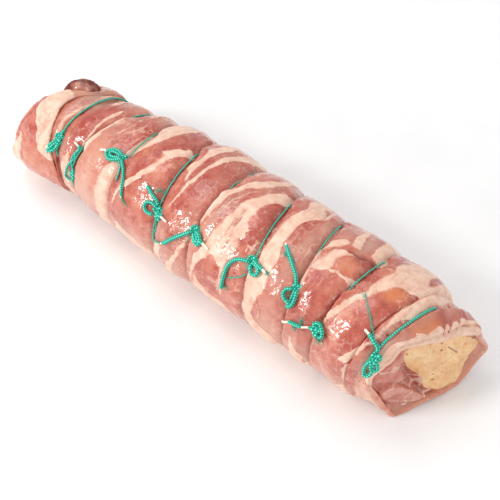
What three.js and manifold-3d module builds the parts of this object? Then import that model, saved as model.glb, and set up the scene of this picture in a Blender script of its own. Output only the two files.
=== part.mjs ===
// Stuffed pork tenderloin, raw: a lean core round a stuffing, wrapped in ten overlapping slices of
// belly and tied with nine elastic cords. Millimetres, +Z up. The open, stuffed end is at +X, the
// roll lies on z = 0, and the origin is under the middle of the whole object.
//
// Points on the roll are given by x (along it), phi (round it: 0 is the -Y side, 90 the top,
// 180 the +Y side, -90 the underside) and a depth below the fullest outline of the roll.
import * as THREE from 'three';
import { mergeVertices } from 'three/addons/utils/BufferGeometryUtils.js';
import Module from 'manifold-3d';

const wasm = await Module();
wasm.setup();

// ---------------------------------------------------------------- driving dimensions
// Sections of the roll: x, full width, full height, sideways shift of the middle
const ROLL = [
  [-148, 62.0, 52.6, -0.4],
  [-134, 65.8, 57.0, 0.4],
  [-116, 66.0, 58.0, 1.9],
  [-76, 68.0, 60.0, 2.1],
  [-51, 73.5, 64.5, 1.2],
  [-26, 77.0, 66.6, 1.6],
  [24, 77.4, 67.8, 0.5],
  [74, 77.2, 67.8, 0.0],
  [99, 76.2, 66.6, -0.6],
  [119, 73.0, 64.0, -1.0],
  [146, 70.0, 60.0, -0.5],
];
const SECTION_POWER = 2.2; // superellipse exponent of the section
const SAG = 2.6; // how far the underside is flattened by its own weight
const FLOOR_BLEND = 1.4; // rounding where the side meets the flat underside
const FLOOR_SINK = 1.0; // on the underside this much depth is pressed flat
const AROUND = 30; // facets round the roll

const WALL = 5.0; // depth of the inside of the wrapped slices
const CORE_GAP = 0.8; // clearance between slices and core
const LAP_GAP = 0.45; // clearance between two overlapping slices
const EDGE_STEP = 2.2; // a slice starts this far past the tie that holds it
const LAP_END = 7.0; // and covers the end of the slice before it, up to here

// Middle of the whole object's box in these measures; the model is moved to put it at the origin
const MIDDLE_X = -1.0;
const MIDDLE_Y = 0.0;

const CORD_R = 0.8; // stretched cord
const LOOSE_R = 1.1; // slack cord in loops and ends
const CORD_SIDES = 5;

// Depth of the outside at a distance from a tie: [distance, depth]
const SQUEEZE = [
  [0.0, 3.2],
  [2.2, 2.0],
  [7.0, 0.6],
];

// The mouth, where the wrap ends at +X: x as a function of the point's y and z
const MOUTH_X = 139;
const MOUTH_Y = 0.36;
const MOUTH_Z = -0.12;
const MOUTH_YY = -0.0025;
const LIP_THICK = 3.0;
// how far the lip is drawn in from the full section: [phi, depth]
const LIP_ROLL = [
  [-180, 6.5],
  [-162, -4.0],
  [-120, 0],
  [-70, 0],
  [-48, -2],
  [-24, 2.2],
  [0, 1.4],
  [30, 3],
  [60, 8],
  [80, 12],
  [105, 13.5],
  [128, 11.5],
  [160, 9],
  [180, 6.5],
];

// Far end: the wrap stops at FAR_X, and is cut back round the tenderloin's own tip
const FAR_X = -145;
const FAR_SLANT = 4; // the underside reaches further than the top
const TIP_PHI = 112;
const TIP_SPREAD = 34;
const TIP_WIDTH = 14;
const TIP_CUT = 18;
const TIP_RISE = 7.5;

// Ties: x = x0 + a sin(phi) + b cos(phi) + c sin(2 phi)
const TIES = [
  { x0: -103.2, a: -5, b: -2.2, c: -2.4 },
  { x0: -87.5, a: 0, b: -8.5, c: 0 },
  { x0: -61.5, a: -1, b: 0, c: 0 },
  { x0: -30.5, a: 0, b: 5, c: 0 },
  { x0: 1, a: -1, b: 0.5, c: 0 },
  { x0: 33.5, a: 0, b: 7.5, c: 0 },
  { x0: 62.3, a: 0, b: 6, c: 0 },
  { x0: 90, a: 0, b: -4, c: 0 },
  { x0: 124, a: 0, b: -9, c: 0 },
];

// Stuffing: corners of its cut face seen from the open end, [y, z], and the middle of the face
const STUFFING_FACE = [[-16, 43], [21, 33.5], [30.5, 22], [15, 6.5], [-1.5, 8.5]];
const STUFFING_MIDDLE = [8, 23];
const STUFFING_INSIDE = [1, 30];
const STUFFING_FROM = -116;
const STUFFING_GAP = 0.5;

// ---------------------------------------------------------------- colours
const LEAN = '#cc6b5c';
const TENDERLOIN = '#b0605a';
const CREAM = '#edbf92';
const TEAL = '#2dcdaf';
const SLICE_COLOURS = [
  '#e09a86', '#d78a7a', '#d88d80', '#c8705f', '#d98d7c',
  '#d99a8c', '#d88f83', '#cc6b5c', '#cf6f5e', '#d9a08f',
];

// ---------------------------------------------------------------- the roll's surface
const DEG = Math.PI / 180;
const clamp = (v, lo, hi) => Math.min(hi, Math.max(lo, v));
const lerp = (a, b, t) => a + (b - a) * t;

// straight lines through a table of [x, values...]
function table(rows, x) {
  let i = 0;
  while (i < rows.length - 2 && x > rows[i + 1][0]) i += 1;
  const t = clamp((x - rows[i][0]) / (rows[i + 1][0] - rows[i][0]), 0, 1);
  return rows[i].slice(1).map((v, k) => lerp(v, rows[i + 1][k + 1], t));
}

// the larger of two values, rounded where they meet
function softMax(a, b, k) {
  const h = Math.max(k - Math.abs(a - b), 0);
  return Math.max(a, b) + (h * h) / (4 * k);
}

const wave = (v) => Math.sign(v) * Math.abs(v) ** (2 / SECTION_POWER);

// the point at x, phi (degrees) and depth
function onRoll(x, phi, depth) {
  const [w, h, shift] = table(ROLL, x);
  const c = wave(Math.cos(phi * DEG));
  const s = wave(Math.sin(phi * DEG));
  const down = s < 0 ? h / 2 + SAG : h / 2;
  const y = -c * (w / 2 - depth) + shift;
  const z = h / 2 + s * (down - depth);
  return new THREE.Vector3(x, y, softMax(z, Math.max(0, depth - FLOOR_SINK), FLOOR_BLEND));
}

const tieX = (n, phi) => {
  const t = TIES[n];
  const r = phi * DEG;
  return t.x0 + t.a * Math.sin(r) + t.b * Math.cos(r) + t.c * Math.sin(2 * r);
};

const mouthX = (y, z) => MOUTH_X + MOUTH_Y * y + MOUTH_Z * z + MOUTH_YY * y * y;

// bell curve of an angle in degrees
function bell(phi, middle, spread) {
  const d = ((phi - middle + 540) % 360) - 180;
  return Math.exp(-((d / spread) ** 2));
}

const turned = (phi) => ((phi + 540) % 360) - 180;
const lipDepth = (phi) => table(LIP_ROLL, turned(phi))[0];

// x of the lip's edge at phi
function lipX(phi) {
  let x = 130;
  for (let i = 0; i < 12; i += 1) {
    const p = onRoll(x, phi, lipDepth(phi));
    x = mouthX(p.y, p.z);
  }
  return x;
}

const farX = (phi) => (
  FAR_X + FAR_SLANT * Math.sin((phi - 10) * DEG) + TIP_CUT * bell(phi, TIP_PHI, TIP_SPREAD)
);

// right edge of the first slice, which lies over the second
function firstEdge(phi) {
  const s = Math.sin(phi * DEG);
  const even = -107 + (s > 0 ? -13 : -4) * s - 1.2 * Math.cos(phi * DEG);
  return even + 9 * bell(phi, 122, 26);
}

// ---------------------------------------------------------------- slices
// A slice is a ring whose profile is a loop of stations, each [x, depth] at a given phi:
// the outside from left to right, then the inside from right to left.
function regularSlice(n) {
  // between tie n and tie n + 1, over the slice before it and under the one after
  return (phi) => {
    const a = tieX(n, phi);
    const b = tieX(n + 1, phi);
    const outside = [
      [a + EDGE_STEP, 1.6],
      [a + LAP_END, SQUEEZE[2][1]],
      [(a + b) / 2, 0],
      [b - LAP_END, SQUEEZE[2][1]],
      [b - EDGE_STEP, SQUEEZE[1][1]],
      [b, SQUEEZE[0][1]],
      [b + EDGE_STEP, 2.6 + LAP_GAP],
      [b + LAP_END, 2.8 + LAP_GAP],
    ];
    const inside = [
      [b + LAP_END, WALL],
      [a + LAP_END + 1.8, WALL],
      [a + LAP_END, 2.8],
      [a + EDGE_STEP, 2.6],
    ];
    return { outside, inside };
  };
}

function firstSlice(phi) {
  const a = farX(phi);
  const b = firstEdge(phi);
  const roll = 4.0;
  const outside = [
    [a, roll],
    [a + 1.2, roll - 2.6],
    [lerp(a, b, 0.3), 0.5],
    [(a + b) / 2, 0],
    [lerp(a, b, 0.75), 0.2],
    [b, 0.6],
  ];
  const inside = [
    [b, 2.2],
    [b - 3.4, 2.6],
    [b - 5, WALL],
    [lerp(a + 1.2, b - 5, 0.35), WALL],
    [a + 1.2, WALL],
    [a + 0.3, WALL + 0.4],
  ];
  return { outside, inside };
}

function secondSlice(phi) {
  const edge = firstEdge(phi);
  const a = tieX(0, phi);
  const b = tieX(1, phi);
  const swell = clamp((b - a - 6) / 9, 0, 1); // none where the two ties are close
  const outside = [
    [edge - 3.4, 2.6 + LAP_GAP],
    [edge, 2.2 + LAP_GAP],
    [a, SQUEEZE[0][1]],
    [lerp(a, b, 0.25), lerp(3.0, 1.3, swell)],
    [lerp(a, b, 0.7), lerp(2.8, 1.0, swell)],
    [b, SQUEEZE[0][1]],
    [b + EDGE_STEP, 2.6 + LAP_GAP],
    [b + LAP_END, 2.8 + LAP_GAP],
  ];
  const inside = [
    [b + LAP_END, WALL],
    [(a + b) / 2, WALL],
    [edge - 3.4, WALL],
  ];
  return { outside, inside };
}

function ninthSlice(phi) {
  const a = tieX(7, phi);
  const b = tieX(8, phi);
  const outside = [
    [a + EDGE_STEP, 1.6],
    [a + LAP_END, SQUEEZE[2][1]],
    [(a + b) / 2 - 2, 0],
    [b - 8.2, 0.9],
    [b - 7, 1.9 + LAP_GAP],
    [b - 2.4, 2.8 + LAP_GAP],
  ];
  const inside = [
    [b - 2.4, WALL],
    [a + LAP_END + 1.8, WALL],
    [a + LAP_END, 2.8],
    [a + EDGE_STEP, 2.6],
  ];
  return { outside, inside };
}

function lastSlice(phi) {
  const b = tieX(8, phi);
  const lip = lipX(phi);
  const roll = lipDepth(phi);
  const swell = clamp((lip - b) / 9, 0, 1); // none where the lip is close to the tie
  const outside = [
    [b - 7, 0.8],
    [b - 2.4, 1.9],
    [b, SQUEEZE[0][1]],
    [lerp(b, lip, 0.4), lerp(3.4, lerp(1.4, roll, 0.28), swell)],
    [lerp(b, lip, 0.8), lerp(3.4, lerp(1.2, roll, 0.72), swell)],
    [lip, lerp(3.6, roll + 0.4, swell)],
  ];
  const thick = LIP_THICK - 1.4 * (0.5 - 0.5 * Math.sin(phi * DEG));
  const inside = [
    [lip + 0.2, outside[5][1] + thick],
    [lerp(b, lip, 0.5), Math.max(WALL, lerp(WALL, roll + thick, 0.55))],
    [b - 0.4, WALL],
    [b - 2.4, 2.8],
    [b - 7, 1.9],
  ];
  return { outside, inside };
}

const SLICES = [
  firstSlice,
  secondSlice,
  ...[1, 2, 3, 4, 5, 6].map((n) => regularSlice(n)),
  ninthSlice,
  lastSlice,
];

// the outermost depth at x and phi
function outsideDepth(x, phi) {
  let best = WALL;
  for (const slice of SLICES) {
    const rows = slice(phi).outside;
    if (x >= rows[0][0] && x <= rows[rows.length - 1][0]) {
      best = Math.min(best, table(rows, x)[0]);
    }
  }
  return best;
}

// ---------------------------------------------------------------- building solids
function closedGeometry(geometry) {
  geometry.deleteAttribute('normal');
  geometry.deleteAttribute('uv');
  const merged = mergeVertices(geometry, 1e-5);
  const p = merged.attributes.position;
  const index = merged.index;
  let volume = 0;
  const a = new THREE.Vector3();
  const b = new THREE.Vector3();
  const c = new THREE.Vector3();
  for (let i = 0; i < index.count; i += 3) {
    a.fromBufferAttribute(p, index.getX(i));
    b.fromBufferAttribute(p, index.getX(i + 1));
    c.fromBufferAttribute(p, index.getX(i + 2));
    volume += a.dot(b.cross(c));
  }
  if (volume < 0) {
    for (let i = 0; i < index.count; i += 3) {
      const first = index.getX(i);
      index.setX(i, index.getX(i + 2));
      index.setX(i + 2, first);
    }
  }
  return merged;
}

function toSolid(geometry) {
  const g = closedGeometry(geometry);
  return new wasm.Manifold(new wasm.Mesh({
    numProp: 3,
    vertProperties: new Float32Array(g.attributes.position.array),
    triVerts: new Uint32Array(g.index.array),
  }));
}

function fromSolid(solid) {
  const m = solid.getMesh();
  const g = new THREE.BufferGeometry();
  g.setAttribute('position', new THREE.BufferAttribute(new Float32Array(m.vertProperties), 3));
  g.setIndex(new THREE.BufferAttribute(new Uint32Array(m.triVerts), 1));
  return g;
}

// a ring whose vertices are placed by station(profile index, turn index)
function ring(profileCount, turnCount, place) {
  const g = new THREE.TorusGeometry(10, 2, profileCount, turnCount);
  const p = g.attributes.position;
  for (let j = 0; j <= profileCount; j += 1) {
    for (let i = 0; i <= turnCount; i += 1) {
      const v = place(j % profileCount, i % turnCount);
      p.setXYZ(j * (turnCount + 1) + i, v.x, v.y, v.z);
    }
  }
  return g;
}

// a closed lump whose rings are placed by station(ring index, angle in degrees)
function lump(turnCount, ringCount, place) {
  const g = new THREE.SphereGeometry(1, turnCount, ringCount);
  const p = g.attributes.position;
  for (let k = 0; k <= ringCount; k += 1) {
    for (let i = 0; i <= turnCount; i += 1) {
      const v = place(k, (i % turnCount) * (360 / turnCount));
      p.setXYZ(k * (turnCount + 1) + i, v.x, v.y, v.z);
    }
  }
  return g;
}

function sliceGeometry(slice) {
  const first = slice(0);
  const count = first.outside.length + first.inside.length;
  const g = ring(count, AROUND, (j, i) => {
    const phi = (i * 360) / AROUND;
    const stations = slice(phi);
    const [x, depth] = [...stations.outside, ...stations.inside][j];
    return onRoll(x, phi, depth);
  });
  return closedGeometry(g);
}

// ---------------------------------------------------------------- tenderloin and stuffing
function stuffingRadius(angle, corners, middle) {
  // a polygon with softened corners, as a distance from its middle
  let sum = 0;
  corners.forEach((p, k) => {
    const q = corners[(k + 1) % corners.length];
    const ny = q[1] - p[1];
    const nz = p[0] - q[0];
    const length = Math.hypot(ny, nz);
    const away = ((p[0] - middle[0]) * ny + (p[1] - middle[1]) * nz) / length;
    const along = (Math.cos(angle) * ny + Math.sin(angle) * nz) / length;
    const reach = along / away;
    if (reach > 0) sum += reach ** 12;
  });
  return sum ** (-1 / 12);
}

// the stuffing from its hidden end to its cut face, with a margin added all round
function stuffingGeometry(margin) {
  const rows = [
    // share of the length, size, part of the way from the hidden section to the face
    [0.0, 0.0, 0],
    [0.0, 0.4, 0],
    [0.03, 0.66, 0],
    [0.3, 0.76, 0],
    [0.6, 0.78, 0.1],
    [0.85, 0.84, 0.6],
    [0.95, 0.92, 1],
    [1.0, 0.99, 1],
    [1.008, 0.6, 1],
    [1.01, 0.0, 1],
  ];
  return lump(18, rows.length - 1, (k, angle) => {
    const [share, size, face] = rows[k];
    const r = angle * DEG;
    const radius = size * stuffingRadius(r, STUFFING_FACE, STUFFING_MIDDLE);
    const grown = size > 0 ? radius + margin : 0;
    const y = lerp(STUFFING_INSIDE[0], STUFFING_MIDDLE[0], face) + grown * Math.cos(r);
    const z = lerp(STUFFING_INSIDE[1], STUFFING_MIDDLE[1], face) + grown * Math.sin(r);
    const end = mouthX(y, z) - 2.5 + (share > 0.9 ? margin : 0);
    return new THREE.Vector3(lerp(STUFFING_FROM - margin, end, share), y, z);
  });
}

// the lean core: far tip, full length, then its cut face just inside the lip
function coreGeometry() {
  const rows = [
    // x, size, share of the way to the mouth: past x on the straight part it counts instead
    [-140, 0.0, 0],
    [-140, 0.5, 0],
    [-139, 0.85, 0],
    [-135, 1.0, 0],
    [-129, 1.0, 0],
    [-123, 1.0, 0],
    [-116, 1.0, 0],
    [-76, 1.0, 0],
    [-51, 1.0, 0],
    [-26, 1.0, 0],
    [24, 1.0, 0],
    [74, 1.0, 0],
    [99, 1.0, 0],
    [99, 1.0, 0.6],
    [99, 1.0, 1],
    [99, 0.6, 1],
    [99, 0.0, 1],
  ];
  return lump(24, rows.length - 1, (k, angle) => {
    const [start, size, share] = rows[k];
    const phi = angle;
    const lip = lipDepth(phi) + LIP_THICK + 0.6;
    const swell = bell(phi, TIP_PHI, TIP_WIDTH);
    const atTip = clamp((farX(phi) - 6 - start) / 6, 0, 1);
    const full = WALL + CORE_GAP - TIP_RISE * swell * atTip;
    const depth = lerp(full, Math.max(full, lip), share * share);
    let x = lerp(start, 130, share);
    let p = onRoll(x, phi, depth);
    for (let i = 0; i < 4; i += 1) {
      const middle = onRoll(x, 90, WALL).z / 2 + 1;
      const y = p.y * size;
      const z = lerp(middle, p.z, size);
      x = lerp(start, mouthX(y, z) - 4.2, share);
      p = onRoll(x, phi, depth);
    }
    const middle = onRoll(x, 90, WALL).z / 2 + 1;
    return new THREE.Vector3(x, p.y * size, lerp(middle, p.z, size));
  });
}

// ---------------------------------------------------------------- ties
// phi and depth of a point near the roll
function depthOf(v) {
  const [w, h, shift] = table(ROLL, v.x);
  const y = v.y - shift;
  const z = v.z - h / 2;
  const down = z < 0 ? h / 2 + SAG : h / 2;
  let lo = -30;
  let hi = 30;
  for (let i = 0; i < 40; i += 1) {
    const d = (lo + hi) / 2;
    const sum = Math.abs(y / (w / 2 - d)) ** SECTION_POWER
      + Math.abs(z / (down - d)) ** SECTION_POWER;
    if (sum < 1) lo = d;
    else hi = d;
  }
  const depth = (lo + hi) / 2;
  const c = Math.abs(y / (w / 2 - depth)) ** (SECTION_POWER / 2);
  const s = Math.abs(z / (down - depth)) ** (SECTION_POWER / 2);
  const phi = Math.atan2(Math.sign(z) * s, -Math.sign(y) * c) / DEG;
  return [phi, depth];
}

// the least depth of the meat close to x
function clearDepth(x, phi) {
  let best = WALL;
  for (let dx = -1.6; dx <= 1.61; dx += 0.8) best = Math.min(best, outsideDepth(x + dx, phi));
  return best;
}

// lifts vertices that would touch the meat, so that slack cord lies on the surface
function layOn(geometry) {
  const p = geometry.attributes.position;
  const v = new THREE.Vector3();
  for (let i = 0; i < p.count; i += 1) {
    v.fromBufferAttribute(p, i);
    const [phi, depth] = depthOf(v);
    const most = clearDepth(v.x, phi) - 0.42;
    if (depth > most) v.copy(onRoll(v.x, phi, most));
    p.setXYZ(i, v.x, v.y, v.z);
  }
  return geometry;
}

// the taut ring of tie n
function tautRing(n) {
  return ring(CORD_SIDES, AROUND, (j, i) => {
    const phi = (i * 360) / AROUND;
    const angle = (j / CORD_SIDES) * 2 * Math.PI + 0.1;
    const x = tieX(n, phi) + CORD_R * Math.cos(angle);
    return onRoll(x, phi, 1.9 - CORD_R * Math.sin(angle));
  });
}

// slack cord through points [x, phi, lift above the meat]
function slackCord(points, radius, steps) {
  const path = new THREE.CatmullRomCurve3(points.map(([x, phi, lift]) => (
    onRoll(x, phi, outsideDepth(x, phi) - 0.45 - radius - lift)
  )), false, 'centripetal');
  const shape = new THREE.Shape();
  for (let i = 0; i < CORD_SIDES; i += 1) {
    const a = (i / CORD_SIDES) * 2 * Math.PI;
    const q = [radius * Math.cos(a), radius * Math.sin(a)];
    if (i === 0) shape.moveTo(q[0], q[1]);
    else shape.lineTo(q[0], q[1]);
  }
  return new THREE.ExtrudeGeometry(shape, { steps, extrudePath: path, curveSegments: 1 });
}

// a knot: a small lump on the tie, longer round the roll than along it
function knot([x, phi, length, width]) {
  const depth = Math.min(outsideDepth(x, phi), 2.2) - 1.6;
  const middle = onRoll(x, phi, depth);
  const outward = onRoll(x, phi, depth - 1).sub(middle).normalize();
  const along = onRoll(x, phi + 2, depth).sub(middle).normalize();
  const g = new THREE.SphereGeometry(1, 8, 4);
  const across = new THREE.Vector3().crossVectors(along, outward);
  const basis = new THREE.Matrix4().makeBasis(
    across.multiplyScalar(width),
    along.multiplyScalar(length),
    outward.multiplyScalar(2.0),
  );
  basis.setPosition(middle);
  return g.applyMatrix4(basis);
}

// For each tie: the knot [x, phi, half length, half width], its loops and its ends
const KNOTS = [
  { knot: [-111, 38, 4.2, 2.6],
    cords: [[[[-112, 36, 1], [-115, 27, 1], [-113, 23, 0.6], [-110.5, 28, 1], [-111, 35, 1]], 8]] },
  { knot: [-95, 9, 3.0, 2.2],
    cords: [[[[-95, 9, 0.8], [-96.5, 22, 0], [-94, 36, 0], [-97, 46, 0.4]], 7]] },
  { knot: [-63.5, 62, 2.8, 2.8],
    cords: [
      [[[-65, 60, 1], [-71, 57, 0.6], [-76, 62, 0.6], [-71, 68, 0.6], [-64, 64, 1]], 9],
      [[[-62.5, 60, 1], [-57, 45, 0.2], [-51, 28, 0.2]], 5],
    ] },
  { knot: [-26.5, 35, 3.2, 2.8],
    cords: [
      [[[-28, 37, 1], [-33, 40, 0.8], [-35, 35, 0.8], [-32, 31, 0.8], [-27, 33, 1]], 8],
      [[[-27, 38, 1], [-33, 48, 0.2], [-40, 54, 0.2]], 4],
      [[[-25, 35, 1], [-18, 34, 0.6]], 2],
    ] },
  { knot: [0.5, 40, 2.8, 2.6],
    cords: [
      [[[1, 41, 1], [7, 39, 0.8], [9, 34, 0.8], [5, 30, 0.8], [1, 36, 1]], 8],
      [[[-1, 38, 1], [-9, 26, 0.2], [-16, 11, 0.2]], 5],
    ] },
  { knot: [37.5, 45, 3.4, 2.6],
    cords: [
      [[[38, 47, 1], [44, 44, 0.8], [46, 39, 0.8], [41, 37, 0.8], [38, 42, 1]], 8],
      [[[36, 44, 1], [30, 40, 0.2], [27.5, 28, 0.2], [27, 10, 0.2]], 6],
      [[[39, 46, 1], [48, 46, 0.4]], 2],
    ] },
  { knot: [66.2, 48, 2.6, 2.6],
    cords: [
      [[[65, 46, 1], [61.5, 38, 0.6], [64, 30, 0.6], [69, 34, 0.6], [68, 45, 1]], 9],
      [[[65, 50, 1], [58, 62, 0.2], [48.5, 73, 0.2]], 5],
    ] },
  { knot: [86.5, 29, 3.4, 3.4],
    cords: [[[[85, 28, 1], [77, 24, 0.2], [71.5, 17, 0.2]], 4]] },
  { knot: [117, 36, 3.6, 2.6],
    cords: [
      [[[116, 34, 1], [112.5, 25, 0.6], [113.5, 14, 0.6], [116, 18, 0.6], [117, 31, 1]], 9],
      [[[117.6, 44, 0.6], [112, 50, 0.3], [107, 54, 0.3]], 3],
    ] },
];

function tieGeometry(n) {
  let solid = toSolid(tautRing(n));
  solid = solid.add(toSolid(layOn(knot(KNOTS[n].knot))));
  for (const [points, steps] of KNOTS[n].cords) {
    solid = solid.add(toSolid(layOn(slackCord(points, LOOSE_R, steps))));
  }
  return fromSolid(solid);
}

// ---------------------------------------------------------------- the model
const model = new THREE.Group();

function addPart(name, geometry, colour, roughness) {
  const material = new THREE.MeshStandardMaterial({ color: colour, roughness, metalness: 0 });
  const mesh = new THREE.Mesh(geometry, material);
  geometry.translate(-MIDDLE_X, -MIDDLE_Y, 0);
  mesh.name = name;
  model.add(mesh);
}

const opening = toSolid(stuffingGeometry(STUFFING_GAP));
addPart('tenderloin', fromSolid(toSolid(coreGeometry()).subtract(opening)), TENDERLOIN, 0.4);
addPart('stuffing', closedGeometry(stuffingGeometry(0)), CREAM, 0.55);

SLICES.forEach((slice, k) => {
  const number = String(k + 1).padStart(2, '0');
  addPart(`belly_slice_${number}`, sliceGeometry(slice), SLICE_COLOURS[k] ?? LEAN, 0.35);
});

TIES.forEach((tie, n) => {
  addPart(`tie_${n + 1}`, tieGeometry(n), TEAL, 0.6);
});

export default model;
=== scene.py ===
import bpy
import numpy as np
from mathutils import Matrix, Vector


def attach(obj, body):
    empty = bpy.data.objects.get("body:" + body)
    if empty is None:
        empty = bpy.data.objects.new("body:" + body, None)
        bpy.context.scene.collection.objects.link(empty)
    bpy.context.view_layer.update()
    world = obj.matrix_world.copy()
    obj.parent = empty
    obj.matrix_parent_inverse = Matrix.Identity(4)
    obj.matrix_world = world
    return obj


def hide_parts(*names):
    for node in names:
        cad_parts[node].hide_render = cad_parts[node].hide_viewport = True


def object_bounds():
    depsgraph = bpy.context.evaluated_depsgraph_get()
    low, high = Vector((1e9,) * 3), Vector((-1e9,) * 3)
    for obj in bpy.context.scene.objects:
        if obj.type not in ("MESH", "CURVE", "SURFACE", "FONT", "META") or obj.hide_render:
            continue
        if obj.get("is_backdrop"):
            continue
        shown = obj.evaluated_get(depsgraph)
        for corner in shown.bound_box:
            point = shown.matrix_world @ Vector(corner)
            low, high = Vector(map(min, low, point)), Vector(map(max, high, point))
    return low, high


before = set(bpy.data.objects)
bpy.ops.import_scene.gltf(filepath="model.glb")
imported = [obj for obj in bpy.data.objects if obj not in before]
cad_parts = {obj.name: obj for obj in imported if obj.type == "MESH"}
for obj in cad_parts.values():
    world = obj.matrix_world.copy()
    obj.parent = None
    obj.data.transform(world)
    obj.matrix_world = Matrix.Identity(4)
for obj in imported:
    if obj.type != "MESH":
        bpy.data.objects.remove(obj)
solid_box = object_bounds()

# ------------------------------------------------------------------ tenderloin
# The lean core: one boned tenderloin opened out round the filling, deep pink and wet on its cut
# face in the open end. At the far end its thin tip, dried dark, stands out above the wrap.

# Tables in this file give x in millimetres from the point that the camera looks at, 15 mm to the
# right of the origin, and phi in degrees round the roll: 0 is the near side, 90 the top, 180 the
# back and -90 underneath.
AIM = 15.0

# Sections of the roll: x, full width, full height, sideways shift of the middle
ROLL = np.array([
    [-162, 58.6, 52.0, 0.0], [-148, 62.4, 56.4, 0.4], [-130, 63.6, 58.0, 1.7], [-90, 67.2, 60.0, 2.0],
    [-65, 73.5, 64.5, 1.2], [-40, 77.0, 66.6, 1.6], [10, 77.4, 67.8, 0.5], [60, 77.2, 67.8, 0.0],
    [85, 76.2, 66.6, -0.6], [105, 73.0, 64.0, -1.0], [132, 70.0, 60.0, -0.5]])
COLUMNS = 480
PHI = np.arange(COLUMNS) * 360.0 / COLUMNS
SQUARENESS = 2.2    # power of the superellipse that a section is; 2 would be an ellipse
LOW_FULLNESS = 2.6  # how much fuller the lower half is
SOFT_TURN = 1.4     # how softly the flat underside turns into the sides
WALL = 5.0          # depth of the inside of the wrapped slices

# Where the ties draw in the upper back, round phi 148: x and how far, most at the last tie
DRAWN_IN = np.array([(-200, 0), (-60, 0), (-46, 0.5), (-34, 0), (-22, 0.9), (-14, 1.4), (-4, 0.8),
                     (8, 0.4), (16, 0.3), (22, 1.2), (33, 1.5), (45, 0.8), (52, 0.9), (60, 0.4), (67, 0),
                     (74, 0.3), (78, 0.7), (82, 0.2), (87, 0), (96, 0), (103, 0.1), (108, 1.2),
                     (112.5, 3.6), (118, 1.6), (123, 0), (200, 0)])


def curve(t, knots, values, lap=None):
    """A smooth line through (knots, values): on each stretch the cubic whose end slopes are the
    slopes of the table there. lap is the length after which the table repeats itself."""
    k, v, t = np.asarray(knots, float), np.asarray(values, float), np.asarray(t, float)
    if lap:
        t = (t - k[0]) % lap + k[0]
        k, v = np.r_[k[-2:] - lap, k, k[:2] + lap], np.r_[v[-2:], v, v[:2]]
    slope = np.gradient(v, k)
    i = np.clip(np.searchsorted(k, t, side="right") - 1, 0, len(k) - 2)
    h = k[i + 1] - k[i]
    u = np.clip((t - k[i]) / h, 0, 1)
    return ((1 + 2 * u) * (1 - u) ** 2 * v[i] + u * (1 - u) ** 2 * h * slope[i]
            + u * u * (3 - 2 * u) * v[i + 1] + u * u * (u - 1) * h * slope[i + 1])


def step(low, high, v):
    """0 below low, 1 above high, and 3u^2 - 2u^3 between."""
    u = np.clip((v - low) / (high - low), 0, 1)
    return u * u * (3 - 2 * u)


def signed(angle):
    """The same angle in degrees, from -180 to 180."""
    return (np.asarray(angle, float) + 180) % 360 - 180


def bell(phi, middle, spread):
    """exp(-(d / spread)^2), d the angle from the middle the short way round."""
    return np.exp(-(signed(phi - middle) / spread) ** 2)


CELLS = 40          # the lattice of random values repeats itself after so many cells
LATTICE = np.random.default_rng(11).random((CELLS, CELLS, CELLS))


def grain(x, y, z, size):
    """Soft random relief from -1 to 1: random values on a cubic lattice of the given size in
    millimetres, joined by u^2 (3 - 2u) along each axis."""
    p = [np.asarray(v, float) / size for v in np.broadcast_arrays(x, y, z)]
    i = [np.floor(v).astype(int) for v in p]
    f = [(v - k) ** 2 * (3 - 2 * (v - k)) for v, k in zip(p, i)]
    total = 0.0
    for a in (0, 1):
        for b in (0, 1):
            for c in (0, 1):
                share = (f[0] if a else 1 - f[0]) * (f[1] if b else 1 - f[1]) * (f[2] if c else 1 - f[2])
                corner = (i[0] + a) % CELLS, (i[1] + b) % CELLS, (i[2] + c) % CELLS
                total = total + share * LATTICE[corner]
    return 2 * total - 1


def on_roll(x, phi, depth):
    """The point at x, phi and depth below the full outline: a superellipse with its lower half
    fuller, then pressed flat on the table with a rounded turn. The upper back is drawn in a little
    at some ties."""
    depth = depth + curve(x, *DRAWN_IN.T) * bell(phi, 148, 32)
    w, h, shift = (curve(x, ROLL[:, 0], ROLL[:, k]) for k in (1, 2, 3))
    c, s = np.cos(np.radians(phi)), np.sin(np.radians(phi))
    c, s = (np.sign(v) * np.abs(v) ** (2 / SQUARENESS) for v in (c, s))
    y = -c * (w / 2 - depth) + shift
    z = h / 2 + s * (h / 2 + np.where(s < 0, LOW_FULLNESS, 0) - depth)
    low = np.maximum(0, depth - 1)
    z = np.maximum(z, low) + np.maximum(SOFT_TURN - np.abs(z - low), 0) ** 2 / (4 * SOFT_TURN)
    return np.stack(np.broadcast_arrays(x, y, z), -1)


def mouth_x(y, z):
    """x of the plane of the open end, turned and slightly hollow: 125 + 0.36 y - 0.12 z - 0.0025 y^2."""
    return 125 + 0.36 * y - 0.12 * z - 0.0025 * y * y


# The lip of the open end: phi, and how far it is drawn in from the full outline
LIP_DEPTH = np.array([(-180, 2.6), (-171, 0.6), (-165, -2.2), (-160, -4.2), (-150, -1.0), (-120, 0),
                      (-74, 0), (-68, -1.6), (-62, -4.0), (-57, -3.0), (-50, 0.2), (-41, 2.6), (-28, 5.0),
                      (-13, 5.8), (0, 4.0), (7, 4.0), (12, 4.8), (17, 6.3), (25, 8.4), (34, 9.6),
                      (49, 9.1), (59, 8.7), (64, 9.7), (76, 11.8), (85, 12.3), (98, 13.4), (112, 13.9),
                      (126, 13.2), (140, 11.6), (156, 9.3), (170, 5.4)])
# and phi and how thick it is there
LIP_THICK = np.array([(-180, 4.8), (-150, 3.2), (-120, 2.6), (-90, 2.8), (-60, 3.6), (-40, 2.4),
                      (-20, 1.7), (3, 2.2), (12, 3.6), (20, 4.4), (34, 4.4), (49, 3.9), (60, 3.7),
                      (80, 3.7), (112, 4.2), (126, 4.8), (140, 5.4), (156, 5.8), (168, 6.0)])


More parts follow.
